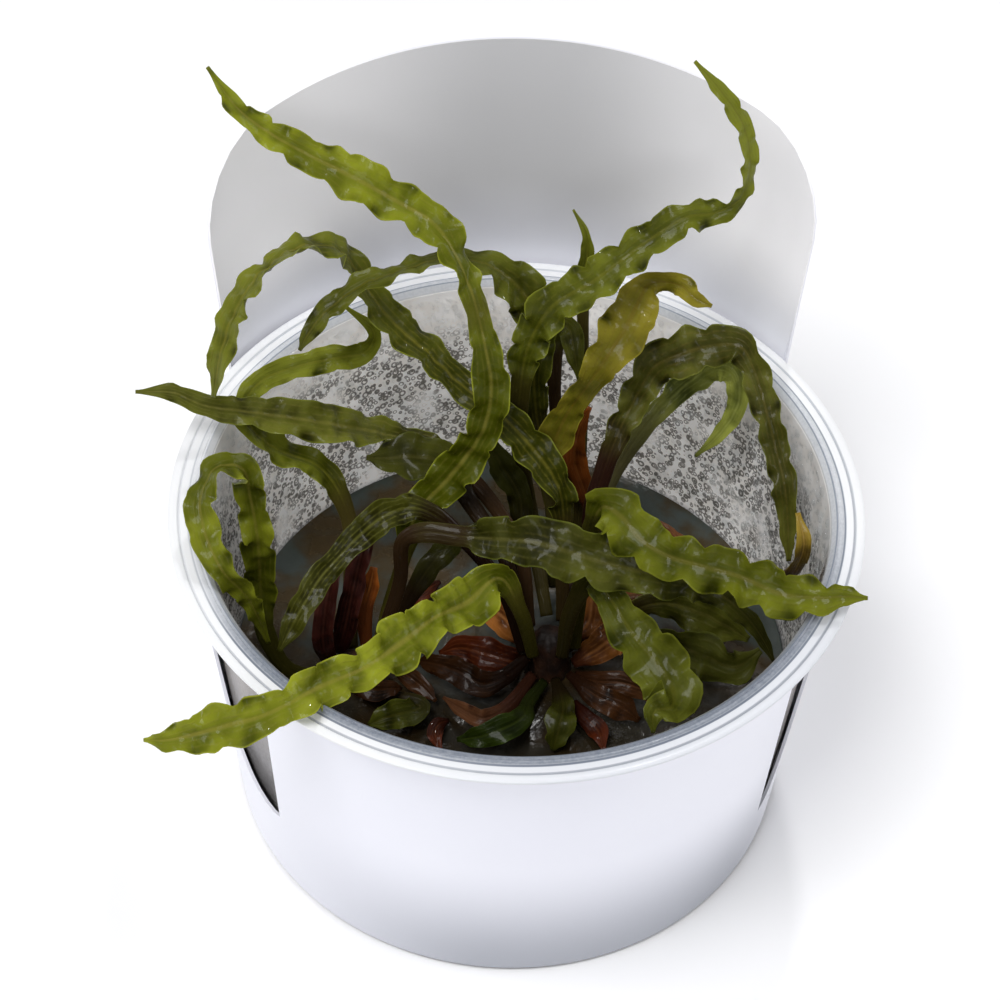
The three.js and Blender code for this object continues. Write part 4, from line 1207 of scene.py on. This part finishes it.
def walkRoute(rows, step, fine=30):
    # stations at even steps along a leaf, each with its place, direction, width and tilt
    points = [Vector(row[:3]) for row in rows]
    places = [i / fine for i in range((len(rows) - 1) * fine + 1)]
    path = [curvePoint(points, place) for place in places]
    runs = [0]
    for first, second in zip(path, path[1:]):
        runs.append(runs[-1] + (second - first).length)
    count = max(8, round(runs[-1] / step))
    stations = []
    for i in range(count + 1):
        run = runs[-1] * i / count
        k = min(len(path) - 2, bisect_right(runs, run) - 1)
        share = (run - runs[k]) / (runs[k + 1] - runs[k])
        place = places[k] + share / fine
        row = min(len(rows) - 2, int(place))
        ease = smooth(place - row)
        width, tilt = [low + (high - low) * ease for low, high in zip(rows[row][3:], rows[row + 1][3:])]
        stations.append({"at": path[k].lerp(path[k + 1], share), "run": run, "width": width, "tilt": tilt})
    for i, station in enumerate(stations):
        ahead = stations[min(count, i + 1)]["at"]
        behind = stations[max(0, i - 1)]["at"]
        station["tangent"] = (ahead - behind).normalized()
    return stations


def turnAcross(stations, step):
    # the direction across the blade at each station, eased along the leaf
    previous = None
    for station in stations:
        across = leafForm["facing"].cross(station["tangent"]).normalized()
        if previous and across.dot(previous) < 0:
            across.negate()
        previous = across.copy()
        across.rotate(Quaternion(station["tangent"], math.radians(station["tilt"])))
        station["raw"] = across
    reach = max(1, round(leafForm["spread"] / step))
    last = len(stations) - 1
    for i, station in enumerate(stations):
        near = [stations[min(last, max(0, i + k))]["raw"] for k in range(-reach, reach + 1)]
        across = sum(near, Vector())
        across -= station["tangent"] * across.dot(station["tangent"])
        station["across"] = across.normalized()
        station["up"] = station["tangent"].cross(station["across"])
        ahead = stations[min(last, i + reach)]
        behind = stations[max(0, i - reach)]
        bend = (ahead["tangent"] - behind["tangent"]) / max(0.1, ahead["run"] - behind["run"])
        station["towards"] = bend.dot(station["across"])


def ripple(run, leaf, side):
    # the margin's lift and reach: rounded lobes with sharp notches, never quite even
    base = math.pi * run / leaf["wave"] + (1.1 if side < 0 else 0)
    base += 1.3 * noise.noise(Vector((run / 11, side * 3.1, leaf["seed"])))
    size = 0.85 + 0.7 * noise.noise(Vector((run / 8, side * 5.3, leaf["seed"] + 7)))
    lobe = 1.5 * abs(math.sin(base)) ** 0.7 - 1
    lobe += 0.25 * math.sin(3.3 * base + side)
    lift = math.sin(2 * base + 0.7) + 0.45 * math.sin(base + 0.4) + 0.25 * math.sin(4.6 * base + 2 * side)
    return size * lift, size * lobe


def sectionPoint(station, leaf, turn):
    # one point of the closed section: the upper face for turns up to half, then the under face
    form = leafForm
    u = math.cos(turn)
    top = math.sin(turn)
    side = 1 if u >= 0 else -1
    span = abs(u)
    blade = station["blade"]
    width = station["width"]
    wave, lobe = ripple(station["run"], leaf, side)
    room = form["bendRoom"] / max(0.01, side * station["towards"])
    reach = min(room, width * (1 + leaf["edge"] * blade * lobe * span))
    lift = form["fold"] * span ** form["foldPower"] + leaf["ruffle"] * wave * span ** form["rufflePower"]
    lift *= blade * width
    grain = Vector((station["run"] / form["crumple"], u * width / form["crumple"], leaf["seed"]))
    lift += blade * form["crumpleHeight"] * min(1, width / 2.5) * noise.noise(grain)
    rib = form["ribDepth"] * math.exp(-((u * width / form["ribWidth"]) ** 2)) * min(1, width / 2)
    thin = form["bladeDepth"] * math.sqrt(max(0, 1 - u ** 4))
    thin += rib * (top < 0) - form["groove"] * rib * (top > 0)
    thick = form["stalkDepth"] * width * math.sqrt(max(0, 1 - u * u)) * (form["stalkTop"] if top > 0 else 1)
    depth = thin * station["lamina"] + thick * (1 - station["lamina"])
    height = lift + depth * (1 if top > 0 else -1 if top < 0 else 0)
    spot = station["at"] + station["across"] * (u * reach) + station["up"] * height
    return spot, lift / max(0.5, width)


def makeLeaf(name, shape):
    leaf = {**leafHabits[name.split("_")[0]], **shape, "seed": sum(ord(letter) for letter in name)}
    rows = [(*row, 0)[:5] for row in leaf["rows"]]
    stations = walkRoute(rows, leafForm["step"])
    turnAcross(stations, leafForm["step"])
    widest = max(range(len(stations)), key=lambda i: stations[i]["width"])
    for i, station in enumerate(stations):
        bare = leafForm["tipHalfWidth"] if i > widest else leafForm["stalkHalfWidth"]
        station["blade"] = smooth((station["width"] - bare) / leafForm["widening"])
        station["lamina"] = 1 if i > widest else max(station["blade"], smooth((i - widest) / 8 + 1))
    ring = leafForm["ring"]
    bm = bmesh.new()
    bmesh.ops.create_grid(bm, x_segments=ring, y_segments=len(stations) - 1, size=1)
    bm.verts.ensure_lookup_table()
    layers = [bm.verts.layers.float.new(layer) for layer in ("across", "along", "blade", "reach", "crest")]
    for index, vert in enumerate(bm.verts):
        row, column = divmod(index, ring + 1)
        station = stations[row]
        turn = 2 * math.pi * (column % ring) / ring
        vert.co, lift = sectionPoint(station, leaf, turn)
        reach = row / (len(stations) - 1)
        values = (math.cos(turn), station["run"] / 10, station["lamina"], reach, lift / leaf["ruffle"])
        for layer, value in zip(layers, values):
            vert[layer] = value
    bmesh.ops.remove_doubles(bm, verts=bm.verts, dist=0.0005)
    ends = [edge for edge in bm.edges if edge.is_boundary]
    bmesh.ops.holes_fill(bm, edges=ends, sides=0)
    bmesh.ops.recalc_face_normals(bm, faces=bm.faces)
    finishPiece("grown_" + name, bm, leafFinish(name, leaf), [name])


for leafName, leafShape in leaves.items():
    makeLeaf(leafName, leafShape)
print("leaves made")


# Condensation: small drops on the inside of the wall, thickest at the back
mist = {
    "seed": 5,
    "count": 3800,
    "tries": 26000,
    "batch": 30,
    "fineBelow": 0.42,
    "low": 25,
    "high": 58.5,
    "spread": 112,
    "radius": (0.26, 0.95),
    "favourSmall": 2.5,
    "stretch": 1.25,
    "flatness": 0.6,
    "tones": ((250, 252, 253), (240, 244, 246)),
}


def waterFinish():
    finish = Finish("water_drop")
    colour = finish.paints(finish.noise(2, 2), mist["tones"])
    return finish.set({"Base Color": colour, "Roughness": 0.02, "IOR": 1.33, "Transmission Weight": 1.0})


def scatterDrops():
    # places and sizes of drops that don't touch, found in cells as wide as the largest drop
    chance = random.Random(mist["seed"])
    low, high = mist["radius"]
    drops = []
    cells = {}
    for _ in range(mist["tries"]):
        angle = chance.gauss(0, mist["spread"] / 2)
        z = chance.uniform(mist["low"], mist["high"])
        size = low + (high - low) * chance.random() ** mist["favourSmall"]
        stretch = chance.uniform(1, mist["stretch"])
        if abs(angle) > mist["spread"] or len(drops) >= mist["count"]:
            continue
        turn = math.radians(angle)
        radius = innerWall(z)
        at = Vector((radius * math.sin(turn), radius * math.cos(turn), z))
        cell = (round(turn * radius / (2 * high)), round(z / (2 * high)))
        around = [(cell[0] + dx, cell[1] + dz) for dx in (-1, 0, 1) for dz in (-1, 0, 1)]
        near = [drop for place in around for drop in cells.get(place, [])]
        if any((at - other["at"]).length < size + other["size"] for other in near):
            continue
        drop = {"at": at, "size": size, "stretch": stretch, "turn": turn}
        drops.append(drop)
        cells.setdefault(cell, []).append(drop)
    return drops


def addDrop(bm, drop):
    size = drop["size"]
    inward = Vector((-math.sin(drop["turn"]), -math.cos(drop["turn"]), 0))
    turn = inward.to_track_quat("Z", "Y").to_matrix().to_4x4()
    form = Matrix.Diagonal((size, size * drop["stretch"], size * mist["flatness"], 1))
    place = Matrix.Translation(drop["at"]) @ turn @ form
    detail = 1 if size < mist["fineBelow"] else 2
    bmesh.ops.create_icosphere(bm, subdivisions=detail, radius=1, matrix=place)


def makeMist():
    # made a batch at a time, because a new drop takes longer the more a mesh holds
    drops = scatterDrops()
    whole = bmesh.new()
    for start in range(0, len(drops), mist["batch"]):
        bm = bmesh.new()
        for drop in drops[start:start + mist["batch"]]:
            addDrop(bm, drop)
        mesh = bpy.data.meshes.new("drops")
        bm.to_mesh(mesh)
        bm.free()
        whole.from_mesh(mesh)
        bpy.data.meshes.remove(mesh)
    finishPiece("condensation", whole, waterFinish(), ())
    print(len(drops), "drops made")


makeMist()
